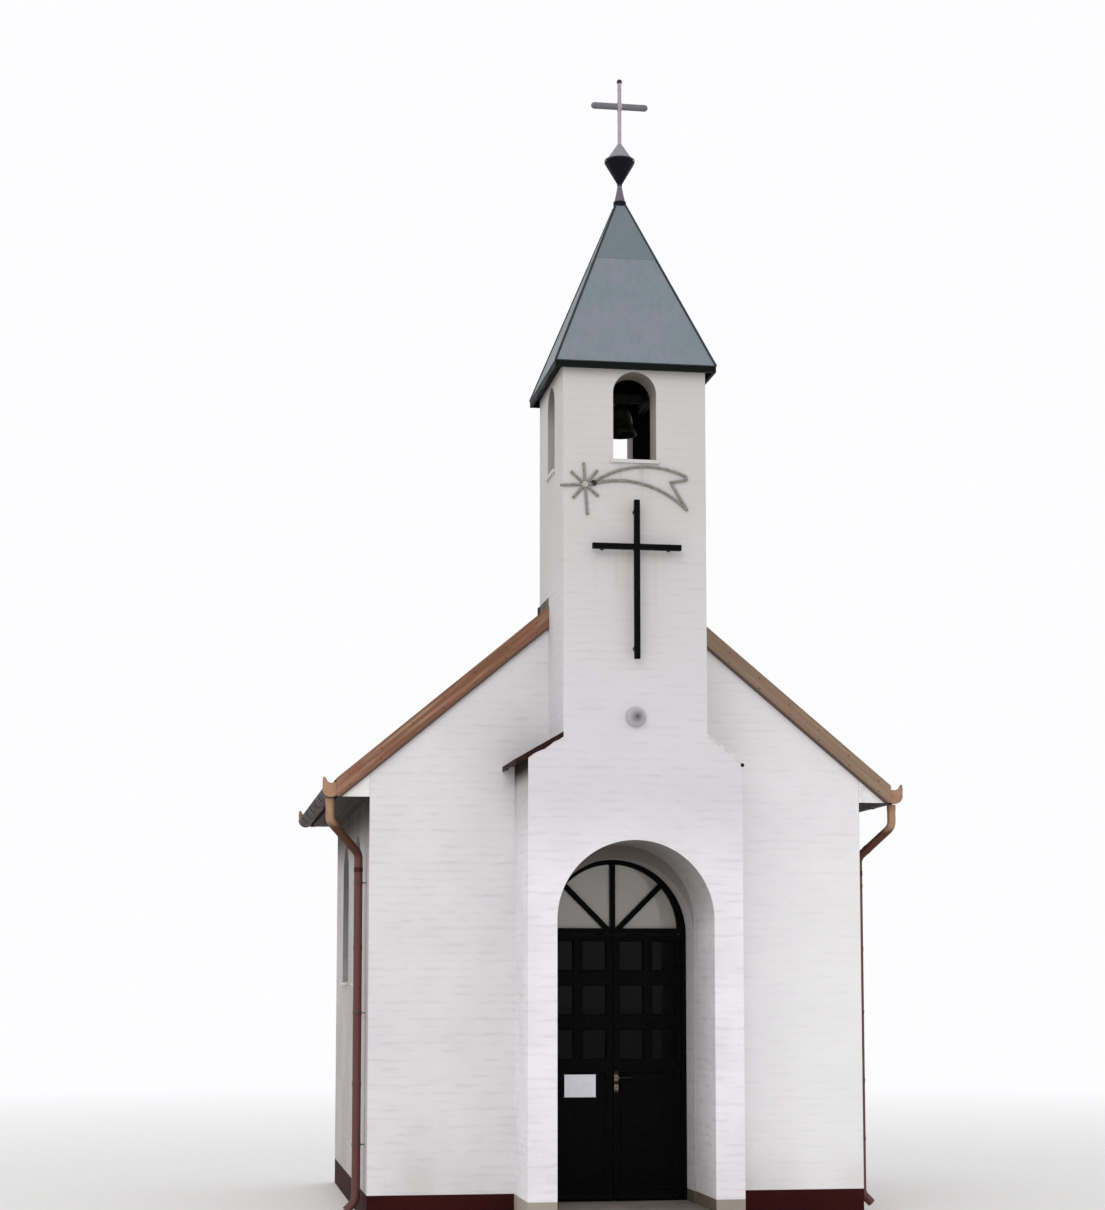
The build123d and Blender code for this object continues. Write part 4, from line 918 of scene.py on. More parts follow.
def aged_copper_and_shade():
    """Copper by place: tan ends and drop, the gutter's run near black as painted shade, brown swan
    neck, mauve paint on the pipe.
    """
    material, tree, shader, place = surface("aged_copper_and_shade", 0.5)
    axes = add(tree, "ShaderNodeSeparateXYZ", {0: place})
    level, depth = axes.outputs["Z"], axes.outputs["Y"]
    # Painted shade: the gutter's run between its ends is near black.
    high = add(tree, "ShaderNodeMapRange", {0: level, 1: drop_level + 0.001, 2: drop_level + 0.003})
    near = add(tree, "ShaderNodeMapRange", {0: depth, 1: 0.006, 2: 0.03})
    far = add(tree, "ShaderNodeMapRange", {0: depth, 1: nave_length - 0.006, 2: nave_length - 0.03})
    dark = product(tree, high, near, far)
    clouds = add(tree, "ShaderNodeTexNoise", {"Vector": place, "Scale": 1 / 0.09, "Detail": 6.0})
    blotch = add(tree, "ShaderNodeMapRange", {0: clouds, 1: 0.45, 2: 0.7, 4: 0.7})
    neck = add(tree, "ShaderNodeMapRange", {0: level, 1: neck_top, 2: neck_top - 0.06})
    pipe = add(tree, "ShaderNodeMapRange", {0: level, 1: neck_foot, 2: neck_foot - 0.07})
    collar = {0: level, 1: collar_level + 0.023, 2: collar_level + 0.022, 4: 0.8}
    collar = add(tree, "ShaderNodeMapRange", collar)
    above = {0: level, 1: collar_level - 0.023, 2: collar_level - 0.022}
    collar = product(tree, collar, add(tree, "ShaderNodeMapRange", above))
    layers = [(blotch, "97705A"), (dark, "1E140F"), (neck, "5A3C30"), (pipe, "6C4A46")]
    layers += [(collar, "401C14")]
    wire(shader, {"Base Color": coats(tree, "AC8A6E", *layers), "Specular IOR Level": 0.06})
    wire(shader, {"Normal": add(tree, "ShaderNodeBump", {"Height": clouds, "Distance": 0.0012})})
    gloss = {0: clouds, 1: 0.3, 2: 0.7, 3: 0.36, 4: 0.6}
    wire(shader, {"Roughness": add(tree, "ShaderNodeMapRange", gloss)})
    wire(shader, {"Metallic": add(tree, "ShaderNodeMapRange", {0: dark, 3: 0.3, 4: 0.0})})
    return material


def tube_tree():
    """Tree that sweeps a round tube along the start mesh's edges, its bends rounded."""
    sizes = {"Radius": 0.02, "Bend": 0.05, "Steps": 6, "Sides": 16, "Capped": True}
    sizes["Finish"] = clay
    tree, size = geometry_rule("bent_tube", sizes)
    curve = add(tree, "GeometryNodeMeshToCurve", {0: size["Shape"]})
    bends = {"Curve": curve, "Count": size["Steps"], "Radius": size["Bend"]}
    bends["Limit Radius"] = True
    curve = add(tree, "GeometryNodeFilletCurve", bends, mode="POLY")
    ring = {"Resolution": size["Sides"], "Radius": size["Radius"]}
    ring = add(tree, "GeometryNodeCurvePrimitiveCircle", ring)
    tube = {"Curve": curve, "Profile Curve": ring, "Fill Caps": size["Capped"]}
    tube = add(tree, "GeometryNodeCurveToMesh", tube)
    tube = add(tree, "GeometryNodeSetMaterial", {"Geometry": tube, "Material": size["Finish"]})
    add(tree, "NodeGroupOutput", {0: tube})
    return tree


copper = aged_copper_and_shade()
bent_tube = tube_tree()
paint(copper, "gutter_left", "gutter_right", "downpipe_left", "downpipe_right")


def path_mesh(name, points, closed=False):
    """The edges along some points, as the start of a tube."""
    mesh = bpy.data.meshes.new(name)
    edges = [(start, start + 1) for start in range(len(points) - 1)]
    edges += [(len(points) - 1, 0)] if closed else []
    mesh.from_pydata(points, edges, [])
    return mesh


drop_path = [(gutter_x, drop_depth, drop_level), (gutter_x, drop_depth, neck_top)]
drop_path += [(pipe_x, pipe_depth, neck_foot), (pipe_x, pipe_depth, shoe_top)]
drop_path += [(pipe_x + shoe_reach, pipe_depth, shoe_foot)]
for side, label in ((-1, "left"), (1, "right")):
    bead_x = side * (gutter_x + gutter_radius - bead_radius)
    bead = [(bead_x, 0.0, gutter_level), (bead_x, nave_length, gutter_level)]
    sizes = {"Radius": bead_radius, "Sides": 12, "Finish": copper}
    bead = made_by(bent_tube, path_mesh("gutter_bead", bead), sizes)
    settle(f"gutter_bead_{label}", bead, None, "building", "gutter_copper")
turns = [pi * step / 16 for step in range(17)]
bowl = [(end_radius * cos(turn), -end_radius * sin(turn) - 0.004) for turn in turns]
horn = [(-0.073, 0.066), (-0.03, 0.05), (0.008, 0.048), (0.033, 0.062), (0.05, 0.092), (0.06, 0.104)]
horn += [(0.069, 0.098), (0.073, 0.06)]
for side, label in ((-1, "left"), (1, "right")):
    bm = bmesh.new()
    for depth in (-end_plate, nave_length):
        plate = [(side * (gutter_x + x), depth, gutter_level + z) for x, z in horn + bowl]
        prism(bm, plate, (0, end_plate, 0))
    shaped(f"gutter_ends_{label}", bm, copper, "building", "gutter_copper")
    for depth, end in ((-0.004, "front"), (nave_length + 0.004, "back")):
        rim = [(side * (gutter_x + x), depth, gutter_level + z) for x, z in horn + bowl]
        sizes = {"Radius": 0.0045, "Bend": 0.004, "Steps": 3, "Sides": 8, "Finish": copper}
        rim = made_by(bent_tube, path_mesh("gutter_rim", rim, closed=True), sizes)
        settle(f"gutter_rim_{label}_{end}", rim, None, "building", "gutter_copper")


def ring_band(radius, wall, height, edge=0.001):
    """Outline of a round band's wall about its middle, its edges eased."""
    outer = radius + wall
    half = height / 2
    outline = [(radius, half), (outer - edge, half), (outer, half - edge), (outer, edge - half)]
    return outline + [(outer - edge, -half), (radius, -half), (radius, half)]


# Strip steel painted brown by brush: a weak gloss, chipped darker in small spots.
dark_steel = coated("steel_painted_brown", "5E4641", "4A342E", 0.6, 0.02, 0.0006)
clip_levels = (0.7, 1.9, 3.1)
rod = [(0, 0), (0.005, 0), (0.005, 0.036), (0, 0.036)]
rose = [(0, -0.001), (0.016, -0.001), (0.015, 0.003), (0, 0.004)]
bolt = [(0, -0.004), (0.004, -0.004), (0.004, 0.0165), (0.0075, 0.0165), (0.0065, 0.021), (0, 0.0215)]
ear_half = Vector((0.008, 0.009, 0.014))
ear_reach = 0.049
tie_inset = 0.015
for side, label in ((-1, "left"), (1, "right")):
    bm = bmesh.new()
    timber(bm, (-0.07, -0.01, 0.0), (0.065, 0.01, 0.002), 0.0005)
    turned(bm, nail_head, facing((-side * 0.066, 0, 0.002), (0, 0, 1)), 8)
    ties = {
        "From": Vector((side * gutter_x, tie_inset, gutter_level + 0.001)),
        "To": Vector((side * gutter_x, nave_length - tie_inset, gutter_level + 0.001)),
        "Count": 7,
        "Sway": 0.0,
        "Finish": dark_steel,
    }
    ties = made_by(in_a_row, plain_mesh("gutter_tie", bm), ties)
    settle(f"gutter_ties_{label}", ties, None, "building", "gutter_copper")
    path = [(side * x, y, z) for x, y, z in drop_path]
    sizes = {"Radius": pipe_radius, "Bend": 0.11, "Sides": 28, "Steps": 8, "Capped": False}
    sizes["Finish"] = copper
    pipe = made_by(bent_tube, path_mesh("downpipe", path), sizes, wall=0.002)
    settle(f"downpipe_sheet_{label}", pipe, None, "building", "pipe_brown", f"downpipe_{label}")
    bm = bmesh.new()
    neck = Vector(path[2]) - Vector(path[1])
    joints = [(path[1], (0, 0, 1), 0.18, 0.05), (path[2], neck, -0.12, 0.04)]
    for level in (1.25, 2.5, collar_level):
        joints.append(((side * pipe_x, pipe_depth, level), (0, 0, 1), 0.0, collar_height))
    for place, along, shift, height in joints:
        place = Vector(place) + Vector(along).normalized() * shift
        turned(bm, ring_band(pipe_radius, 0.0025, height), facing(place, along), 28)
    shaped(f"downpipe_collars_{label}", bm, copper, "building", "pipe_brown")
    bm = bmesh.new()
    for level in clip_levels:
        place = Vector((side * pipe_x, pipe_depth, level))
        turned(bm, ring_band(pipe_radius - 0.0005, 0.0035, 0.03), facing(place, (0, 0, 1)), 28)
        anchor = facing((side * half_nave, pipe_depth, level), (side, 0, 0))
        turned(bm, rod, anchor, 10)
        turned(bm, rose, anchor, 16)
        for turn in (-1, 1):
            ear = place + Vector((0, turn * ear_reach, 0))
            timber(bm, ear - ear_half, ear + ear_half, 0.001)
            turned(bm, bolt, facing(ear, (side, 0, 0)), 6)
    shaped(f"downpipe_clips_{label}", bm, dark_steel, "building", "pipe_brown")


# Spire, finial and cross
# Grey zinc sheet on boards, lapped where two lengths meet, with rolled hips and a dark fascia.
# The turned finial is black below and grey above; the cross is painted tube with a knob.
spire_low, spire_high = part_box("spire")
spire_half_width = spire_high.x
spire_half_depth = (spire_high.y - spire_low.y) / 2
spire_shell = 0.03
spire_eave = 7.8
spire_tip = 0.048
spire_seam = 8.93
spire_lap = 0.004


def spire_ring(level, more=0.0):
    """The four corners of the spire at a level, moved out by a little more."""
    share = (level - spire_eave) / (spire_high.z - spire_eave)
    x = spire_half_width + (spire_tip - spire_half_width) * share + more
    y = spire_half_depth + (spire_tip - spire_half_depth) * share + more
    corners = ((-1, -1), (1, -1), (1, 1), (-1, 1))
    return [Vector((u * x, tower_middle + v * y, level)) for u, v in corners]


def weathered_zinc():
    """Zinc, greened and lilac-grey, with rain runs, a dark green fascia, and near black painted shade
    inside.
    """
    material, tree, shader, place = surface("weathered_zinc", 0.5)
    axes = add(tree, "ShaderNodeSeparateXYZ", {0: place})
    level = axes.outputs["Z"]
    # Painted shade: the spire's inner faces are near black.
    hollow = []
    for axis, middle, reach in (("X", 0.0, spire_half_width), ("Y", tower_middle, spire_half_depth)):
        off = add(tree, "ShaderNodeMath", {0: axes.outputs[axis], 1: middle}, operation="SUBTRACT")
        off = add(tree, "ShaderNodeMath", {0: off}, operation="ABSOLUTE")
        shell = {0: level, 1: spire_eave, 2: spire_high.z}
        shell |= {3: reach - spire_shell, 4: spire_tip - spire_shell}
        shell = add(tree, "ShaderNodeMapRange", shell)
        hollow.append(add(tree, "ShaderNodeMath", {0: off, 1: shell}, operation="LESS_THAN"))
    clouds = add(tree, "ShaderNodeTexNoise", {"Vector": place, "Scale": 1 / 0.35, "Detail": 5.0})
    stretched = {"Vector": place, "Scale": (1 / 0.05, 1 / 0.05, 1 / 0.6)}
    runs = add(tree, "ShaderNodeMapping", stretched)
    runs = add(tree, "ShaderNodeTexNoise", {"Vector": runs, "Scale": 1.0, "Detail": 4.0})
    green = add(tree, "ShaderNodeMapRange", {0: clouds, 1: 0.36, 2: 0.66, 4: 0.75})
    wet = add(tree, "ShaderNodeMapRange", {0: runs, 1: 0.45, 2: 0.75, 4: 0.3})
    fascia = {0: level, 1: spire_eave + 0.0012, 2: spire_eave + 0.0008}
    fascia = add(tree, "ShaderNodeMapRange", fascia)
    upper = add(tree, "ShaderNodeMapRange", {0: level, 1: spire_seam, 2: spire_seam + 0.01, 4: 0.6})
    layers = [(green, "788A8E"), (wet, "6E757D"), (upper, "66787B")]
    layers += [(product(tree, *hollow), "120E0B"), (fascia, "111612")]
    wire(shader, {"Base Color": coats(tree, "868992", *layers), "Specular IOR Level": 0.05})
    wire(shader, {"Metallic": add(tree, "ShaderNodeMapRange", {0: fascia, 3: 0.25, 4: 0.0})})
    dull = {0: clouds, 1: 0.3, 2: 0.7, 3: 0.42, 4: 0.62}
    wire(shader, {"Roughness": add(tree, "ShaderNodeMapRange", dull)})
    wire(shader, {"Normal": add(tree, "ShaderNodeBump", {"Height": clouds, "Distance": 0.004})})
    return material


spire_zinc = weathered_zinc()
paint(spire_zinc, "spire")
bm = bmesh.new()
lofted(bm, [spire_ring(spire_seam, spire_lap), spire_ring(spire_high.z - 0.002, spire_lap)])
shaped("spire_upper_sheet", bm, spire_zinc, "building", "spire_zinc")
# Zinc rolled over the hips and left to darken: slate black, it draws thin lines with a soft shine.
hip_black = coated("hip_roll_dark", "2E3035", "212326", 0.5, 0.08, 0.0005, specular=0.25)
hips = bpy.data.meshes.new("spire_hips")
ends = [point for pair in zip(spire_ring(spire_eave), spire_ring(spire_high.z)) for point in pair]
hips.from_pydata(ends, [(0, 1), (2, 3), (4, 5), (6, 7)], [])
sizes = {"Radius": 0.011, "Sides": 10, "Finish": hip_black}
settle("spire_hips", made_by(bent_tube, hips, sizes), None, "building", "spire_zinc")
drip = path_mesh("spire_drip", spire_ring(spire_eave, -0.001), closed=True)
sizes = {"Radius": 0.006, "Bend": 0.008, "Steps": 4, "Sides": 8, "Finish": hip_black}
settle("spire_drip", made_by(bent_tube, drip, sizes), None, "building", "spire_zinc")


collar_top = 9.568
cone_foot = 9.735
cone_rim = 9.975


def finial_paint():
    """Finial by level: black collar, mauve-grey neck, black lower cone and grey upper cone."""
    material, tree, shader, place = surface("finial_paint", 0.5)
    level = add(tree, "ShaderNodeSeparateXYZ", {0: place}).outputs["Z"]
    wear = add(tree, "ShaderNodeTexNoise", {"Vector": place, "Scale": 1 / 0.05, "Detail": 5.0})
    neck = {0: level, 1: collar_top - 0.001, 2: collar_top + 0.001}
    neck = add(tree, "ShaderNodeMapRange", neck)
    cone = add(tree, "ShaderNodeMapRange", {0: level, 1: cone_foot, 2: cone_foot + 0.005})
    upper = add(tree, "ShaderNodeMapRange", {0: level, 1: cone_rim - 0.001, 2: cone_rim + 0.003})
    rubbed = add(tree, "ShaderNodeMapRange", {0: wear, 1: 0.5, 2: 0.75, 4: 0.08})
    layers = [(neck, "6E6771"), (cone, "09090E"), (upper, "8E8C94"), (rubbed, "3A3B40")]
    wire(shader, {"Base Color": coats(tree, "09090D", *layers), "Specular IOR Level": 0.12})
    wire(shader, {"Normal": add(tree, "ShaderNodeBump", {"Height": wear, "Distance": 0.0006})})
    return material


finial_coat = finial_paint()
paint(finial_coat, "finial")
bm = bmesh.new()
skirt = [(0, 9.57), (0.049, 9.57), (0.0505, 9.576), (0.0345, 9.65), (0.0215, 9.722)]
skirt += [(0.0205, 9.727), (0, 9.727)]
turned(bm, skirt, Matrix.Translation((0, tower_middle, 0)), 32)
shaped("finial_skirt", bm, finial_coat, "building", "spire_zinc")
spire_cross_bar = 10.51
stem_radius = 0.02
knob_foot = 10.735


def cross_paint():
    """Paint on tube: pale lilac-grey on the stem, darker on the bar, and nearly black on the knob."""
    material, tree, shader, place = surface("cross_paint", 0.5)
    axes = add(tree, "ShaderNodeSeparateXYZ", {0: place})
    across = add(tree, "ShaderNodeMath", {0: axes.outputs["X"]}, operation="ABSOLUTE")
    wear = add(tree, "ShaderNodeTexNoise", {"Vector": place, "Scale": 1 / 0.06, "Detail": 4.0})
    bar = {0: across, 1: stem_radius - 0.0005, 2: stem_radius + 0.0005}
    bar = add(tree, "ShaderNodeMapRange", bar)
    knob = {0: axes.outputs["Z"], 1: knob_foot, 2: knob_foot + 0.007}
    knob = add(tree, "ShaderNodeMapRange", knob)
    worn = add(tree, "ShaderNodeMapRange", {0: wear, 1: 0.45, 2: 0.7, 4: 0.3})
    layers = [(bar, "6B6A70"), (worn, "7F7B82"), (knob, "2A2729")]
    wire(shader, {"Base Color": coats(tree, "A9A0A8", *layers), "Specular IOR Level": 0.3})
    wire(shader, {"Normal": add(tree, "ShaderNodeBump", {"Height": wear, "Distance": 0.0004})})
    return material


painted_tube = cross_paint()
paint(painted_tube, "spire_cross")
bm = bmesh.new()
for level, radius in ((cone_rim, 0.139), (cone_foot, 0.0195)):
    bead = [(radius - 0.002, 0.006), (radius + 0.004, 0.005), (radius + 0.006, 0.0)]
    bead += [(radius + 0.004, -0.005), (radius - 0.002, -0.006), (radius - 0.002, 0.006)]
    turned(bm, bead, facing((0, tower_middle, level), (0, 0, 1)), 32)
shaped("finial_beads", bm, hip_black, "building", "spire_zinc")
bm = bmesh.new()
for side in (-1, 1):
    sleeve = facing((side * 0.235, tower_middle, spire_cross_bar), (1, 0, 0))
    turned(bm, ring_band(0.0302, 0.002, 0.014), sleeve, 24)
sleeve = facing((0, tower_middle, spire_cross_bar), (0, 0, 1))
turned(bm, ring_band(0.0182, 0.003, 0.086), sleeve, 24)
shaped("cross_sleeves", bm, painted_tube, "building", "cross_tube")


# Bell and its frame
# Cast bronze gone dark, turned with raised bands, hung by its crown from an oak headstock.
# Two iron straps hold the crown, and iron pins turn in the beams; all is dull and nearly black, the oak
# as painted shade.
bell_pivot = 7.66
bell_axis = Vector((0, tower_middle, bell_pivot))
bell_lip = 7.31
bell_top = 7.595
bell_mouth = 0.16
bell_wall = 0.016
headstock_half = 0.04
strap_half = 0.011
strap = 0.005
beam_x = 0.28
beam_foot = 7.615
beam_top = 7.705


def dark_oak():
    """Oak beams: grain lines 4 mm apart along Y or X, open pores, near black as painted shade in the
    bell chamber.
    """
    material, tree, shader, place = surface("oak_near_black_shade", 0.8)
    grain = {"Vector": place, "Scale": (1 / 0.12, 1 / 0.12, 1 / 0.004)}
    grain = add(tree, "ShaderNodeMapping", grain)
    grain = add(tree, "ShaderNodeTexNoise", {"Vector": grain, "Scale": 1.0, "Detail": 5.0})
    lines = add(tree, "ShaderNodeMapRange", {0: grain, 1: 0.4, 2: 0.65})
    wire(shader, {"Base Color": coats(tree, "1C1610", (lines, "110D0A"))})
    wire(shader, {"Normal": add(tree, "ShaderNodeBump", {"Height": grain, "Distance": 0.0015})})
    return material


oak = dark_oak()
paint(oak, "bell_frame")
# Cast bronze, never polished: dark brown metal with green-black clouds and a weak, broad shine.
bronze = coated("cast_bronze_dark", "221C14", "1B241E", 0.5, 0.06, 0.0008, metallic=0.8)
# Forged iron: dull black, with rust breaking through in spots 20 mm wide.
iron = coated("wrought_iron_black", "1B1A1A", "33241C", 0.6, 0.02, 0.0008, metallic=0.4)
height = bell_top - bell_lip
rim = [(1.0, 0.0), (1.0, 0.02), (0.965, 0.055), (0.95, 0.075), (0.955, 0.09), (0.93, 0.105)]
waist = [(0.84, 0.2), (0.73, 0.32), (0.735, 0.335), (0.725, 0.35), (0.71, 0.36), (0.66, 0.46)]
shoulder = [(0.62, 0.57), (0.58, 0.72), (0.585, 0.735), (0.575, 0.75), (0.565, 0.79), (0.53, 0.88)]
shoulder += [(0.47, 0.95), (0.38, 0.99), (0.0, 1.0)]
outer = [(r * bell_mouth, h * height) for r, h in rim + waist + shoulder]
inner = [(r, h) for r, h in outer[::-1] if r > 0.07 or r == 0.0]
inner = [(max(r - bell_wall, 0.0), min(h, height - bell_wall)) for r, h in inner]
bm = bmesh.new()
turned(bm, outer + inner[:-1] + [outer[0]], Matrix.Translation((0, tower_middle, bell_lip)), 48)
crown = [(0, 0.0), (0.048, 0.0), (0.046, 0.008), (0.036, 0.012), (0.036, 0.026), (0, 0.026)]
turned(bm, crown, Matrix.Translation((0, tower_middle, bell_top - 0.001)), 32)
paint(bronze, "bell")
shaped("bell_casting", bm, bronze, "bell", "bell_bronze", "bell")
bm = bmesh.new()
stock = Vector((0.215, headstock_half, headstock_half))
timber(bm, bell_axis - stock, bell_axis + stock, 0.006)
shaped("bell_headstock", bm, oak, "bell", "bell_bronze")
bm = bmesh.new()
stock_foot, stock_top = bell_pivot - headstock_half, bell_pivot + headstock_half
over_stock = headstock_half + strap
for x in (-0.03, 0.03, -0.185, 0.185):
    left, right = x - strap_half, x + strap_half
    foot = bell_top if abs(x) < 0.1 else stock_foot - strap
    for turn in (-1, 1):
        front, back = sorted(tower_middle + turn * off for off in (headstock_half, over_stock))
        timber(bm, (left, front, foot), (right, back, stock_top + strap), 0.001)
    front, back = tower_middle - over_stock, tower_middle + over_stock
    timber(bm, (left, front, stock_top), (right, back, stock_top + strap), 0.001)
    turned(bm, nail_head, facing((x, front, stock_top - 0.02), (0, -1, 0)), 6)
pin = [(0, 0), (0.0155, 0), (0.0155, 0.012), (0.015, 0.013), (0.015, 0.094), (0.013, 0.097)]
pin += [(0, 0.097)]
for turn in (-1, 1):
    turned(bm, pin, facing(bell_axis + Vector((turn * 0.213, 0, 0)), (turn, 0, 0)), 20)
clapper = [(0, -0.005), (0.004, -0.004), (0.0075, 0.006), (0.021, 0.01), (0.025, 0.02)]
clapper += [(0.021, 0.034), (0.009, 0.044), (0.006, 0.07), (0.0065, 0.25), (0.012, 0.256)]
clapper += [(0.012, 0.27), (0, 0.272)]
turned(bm, clapper, Matrix.Translation((0, tower_middle, bell_lip + 0.006)), 20)
shaped("bell_ironwork", bm, iron, "bell", "bell_bronze")
bm = bmesh.new()
nut = [(0, -0.001), (0.012, -0.001), (0.012, 0.006), (0.008, 0.009), (0, 0.009)]
hanger_depth = 0.018
for side in (-1, 1):
    x = side * beam_x
    for front in (chamber_low.y, chamber_high.y - hanger_depth):
        low = (x - 0.034, front, beam_foot - 0.008)
        timber(bm, low, (x + 0.034, front + hanger_depth, beam_foot), 0.001)
    for turn in (-1, 1):
        turned(bm, nut, facing((x, tower_middle + turn * 0.05, beam_top), (0, 0, 1)), 6)
    low = (x - 0.024, tower_middle - 0.065, beam_top)
    timber(bm, low, (x + 0.024, tower_middle + 0.065, beam_top + 0.004), 0.001)
shaped("bell_bearings", bm, iron, "building", "frame_wood")


# Door frame, fanlight and the two leaves
# Pine painted black: six panes a leaf behind beads, over a panel with a moulding round it.
# A board at the foot throws the rain off, and the leaves hang on knuckle hinges with knobs.
leaf_face = 0.31
# Satin oil paint in many coats: deep black with the faintest shine, so the door is one dark plane.
door_black = coated("black_satin_door_paint", "050506", "0C0C0E", 0.5, 0.05, 0.0004, specular=0.04)
paint(door_black, "door_frame", "door_leaf_left", "door_leaf_right")


def window_glass(name, tint, film, ior=1.52, clear=1.0, specular=0.5):
    """Drawn sheet glass, smooth, with a film of dust in clouds 200 mm wide that blurs it a little."""
    material, tree, shader, place = surface(name, 0.04)
    dust = add(tree, "ShaderNodeTexNoise", {"Vector": place, "Scale": 1 / 0.2, "Detail": 5.0})
    dull = {0: dust, 1: 0.4, 2: 0.75, 3: 0.02, 4: film}
    wire(shader, {
        "Base Color": linear(tint),
        "IOR": ior,
        "Transmission Weight": clear,
        "Specular IOR Level": specular,
        "Roughness": add(tree, "ShaderNodeMapRange", dull),
    })
    return material


# Smoked glass before a dark room: near black. Its IOR is matched to panes that mirror dark trees.
dark_glass = window_glass("smoked_door_glass", "161817", 0.1, ior=1.2, specular=0.06)
paint(dark_glass, "door_glass_left", "door_glass_right")
# Dusty glass in the passage's shade: half of it is film, which scatters light to a grey-beige.
dusty_glass = window_glass("dusty_fanlight_glass", "D4D1C8", 0.1, clear=0.5, specular=1.0)
paint(dusty_glass, "fanlight_glass")
pane_columns = ((0.057, 0.29635), (0.37035, 0.6097))
pane_bottoms = (1.455, 1.87, 2.285)
pane_height = 0.29
leaf_panel = ((0.057, 0.6097), (0.265, 1.345))


def moulded_frame(bm, spans, levels, profile):
    """A mitred frame inside an opening: its profile gives steps inwards and depths along Y."""
    (left, right), (low, high) = spans, levels
    corners = [(left, low, 1, 1), (right, low, -1, 1), (right, high, -1, -1), (left, high, 1, -1)]
    rings = []
    for x, z, inward_x, inward_z in corners:
        rings.append([(x + inward_x * step, y, z + inward_z * step) for step, y in profile])
    lofted(bm, rings, looped=True)


glazing_bead = [(0.0, 0.3125), (0.004, 0.313), (0.009, 0.318), (0.011, 0.326), (0.011, 0.3345)]
glazing_bead += [(0.0, 0.3345)]
bead_panel = [(0.0, 0.318), (0.0, 0.3075), (0.005, 0.306), (0.009, 0.3085), (0.013, 0.309)]
bead_panel += [(0.019, 0.3135), (0.022, 0.318)]
drip_board = [(0.31, 0.165), (0.288, 0.165), (0.286, 0.168), (0.286, 0.18), (0.31, 0.215)]
for side, body in ((-1, "door_left"), (1, "door_right")):
    bm = bmesh.new()
    for near, far in pane_columns:
        for low in pane_bottoms:
            span = sorted((side * near, side * far))
            moulded_frame(bm, span, (low, low + pane_height), glazing_bead)
    (near, far), levels = leaf_panel
    moulded_frame(bm, sorted((side * near, side * far)), levels, bead_panel)
    board = [Vector((side * 0.03, y, z)) for y, z in drip_board]
    prism(bm, board, (side * 0.59, 0, 0))
    shaped(f"{body}_mouldings", bm, door_black, body, "door_black")

stile = 0.03
lock_level = 1.2
lever_level = 1.29


def tarnished_brass():
    """Brass gone brown, rubbed bright round the lever's neck and the keyhole."""
    material, tree, shader, place = surface("tarnished_brass", 0.45, 1.0)
    axes = add(tree, "ShaderNodeSeparateXYZ", {0: place})
    wear = add(tree, "ShaderNodeTexNoise", {"Vector": place, "Scale": 1 / 0.012, "Detail": 4.0})
    wear = add(tree, "ShaderNodeMapRange", {0: wear, 1: 0.3, 2: 0.5})
    plate = add(tree, "ShaderNodeMapRange", {0: axes.outputs["X"], 1: 0.052, 2: 0.046})
    layers = []
    for middle in (lever_level, lock_level):
        away = add(tree, "ShaderNodeMath", {0: axes.outputs["Z"], 1: middle}, operation="SUBTRACT")
        away = add(tree, "ShaderNodeMath", {0: away}, operation="ABSOLUTE")
        rubbed = add(tree, "ShaderNodeMapRange", {0: away, 1: 0.032, 2: 0.02})
        layers.append((product(tree, plate, wear, rubbed), "8C8376"))
    wire(shader, {"Base Color": coats(tree, "33281D", *layers)})
    wire(shader, {"Roughness": add(tree, "ShaderNodeMapRange", {0: wear, 3: 0.55, 4: 0.35})})
    return material


brass = tarnished_brass()
paint(brass, "door_handle")
bm = bmesh.new()
screw = [(0, 0.0), (0.0045, 0.0), (0.0045, 0.0008), (0.003, 0.002), (0, 0.0024)]
for level in (1.162, 1.338):
    turned(bm, screw, facing((stile, 0.304, level), (0, -1, 0)), 12)
turned(bm, ring_band(0.009, 0.004, 0.006), facing((stile, 0.302, lever_level), (0, -1, 0)), 24)
turned(bm, ring_band(0.0065, 0.003, 0.003), facing((stile, 0.303, lock_level), (0, -1, 0)), 20)
shaped("lock_furniture", bm, brass, "door_right", "handle_brass")
bm = bmesh.new()
keyhole = [(0, 0), (0.0066, 0), (0.0066, 0.0006), (0, 0.0006)]
turned(bm, keyhole, facing((stile, 0.3042, lock_level), (0, -1, 0)), 16)
shaped("keyhole", bm, iron, "door_right", "handle_brass")

sheet_left, sheet_right = -0.462, -0.166
sheet_foot, sheet_top = 1.112, 1.322
sheet_depth = 0.0006
# Bleached copy paper: cool white and matt, the brightest thing on the door.
paper = coated("notice_paper_blank", "FAF9FF", "F3F2FB", 0.7, 0.05, 0.0006)
bm = bmesh.new()
columns = 12
rings = []
for step in range(columns + 1):
    share = step / columns
    x = sheet_left + (sheet_right - sheet_left) * share
    back = leaf_face - 0.0015 - 0.0035 * sin(pi * share) ** 2 * (0.5 + 0.5 * share)
    front = back - sheet_depth
    ring = [(x, back, sheet_foot), (x, front, sheet_foot), (x, front, sheet_top), (x, back, sheet_top)]
    rings.append([Vector(point) for point in ring])
lofted(bm, rings)
shaped("notice_sheet", bm, paper, "door_left", "door_black")


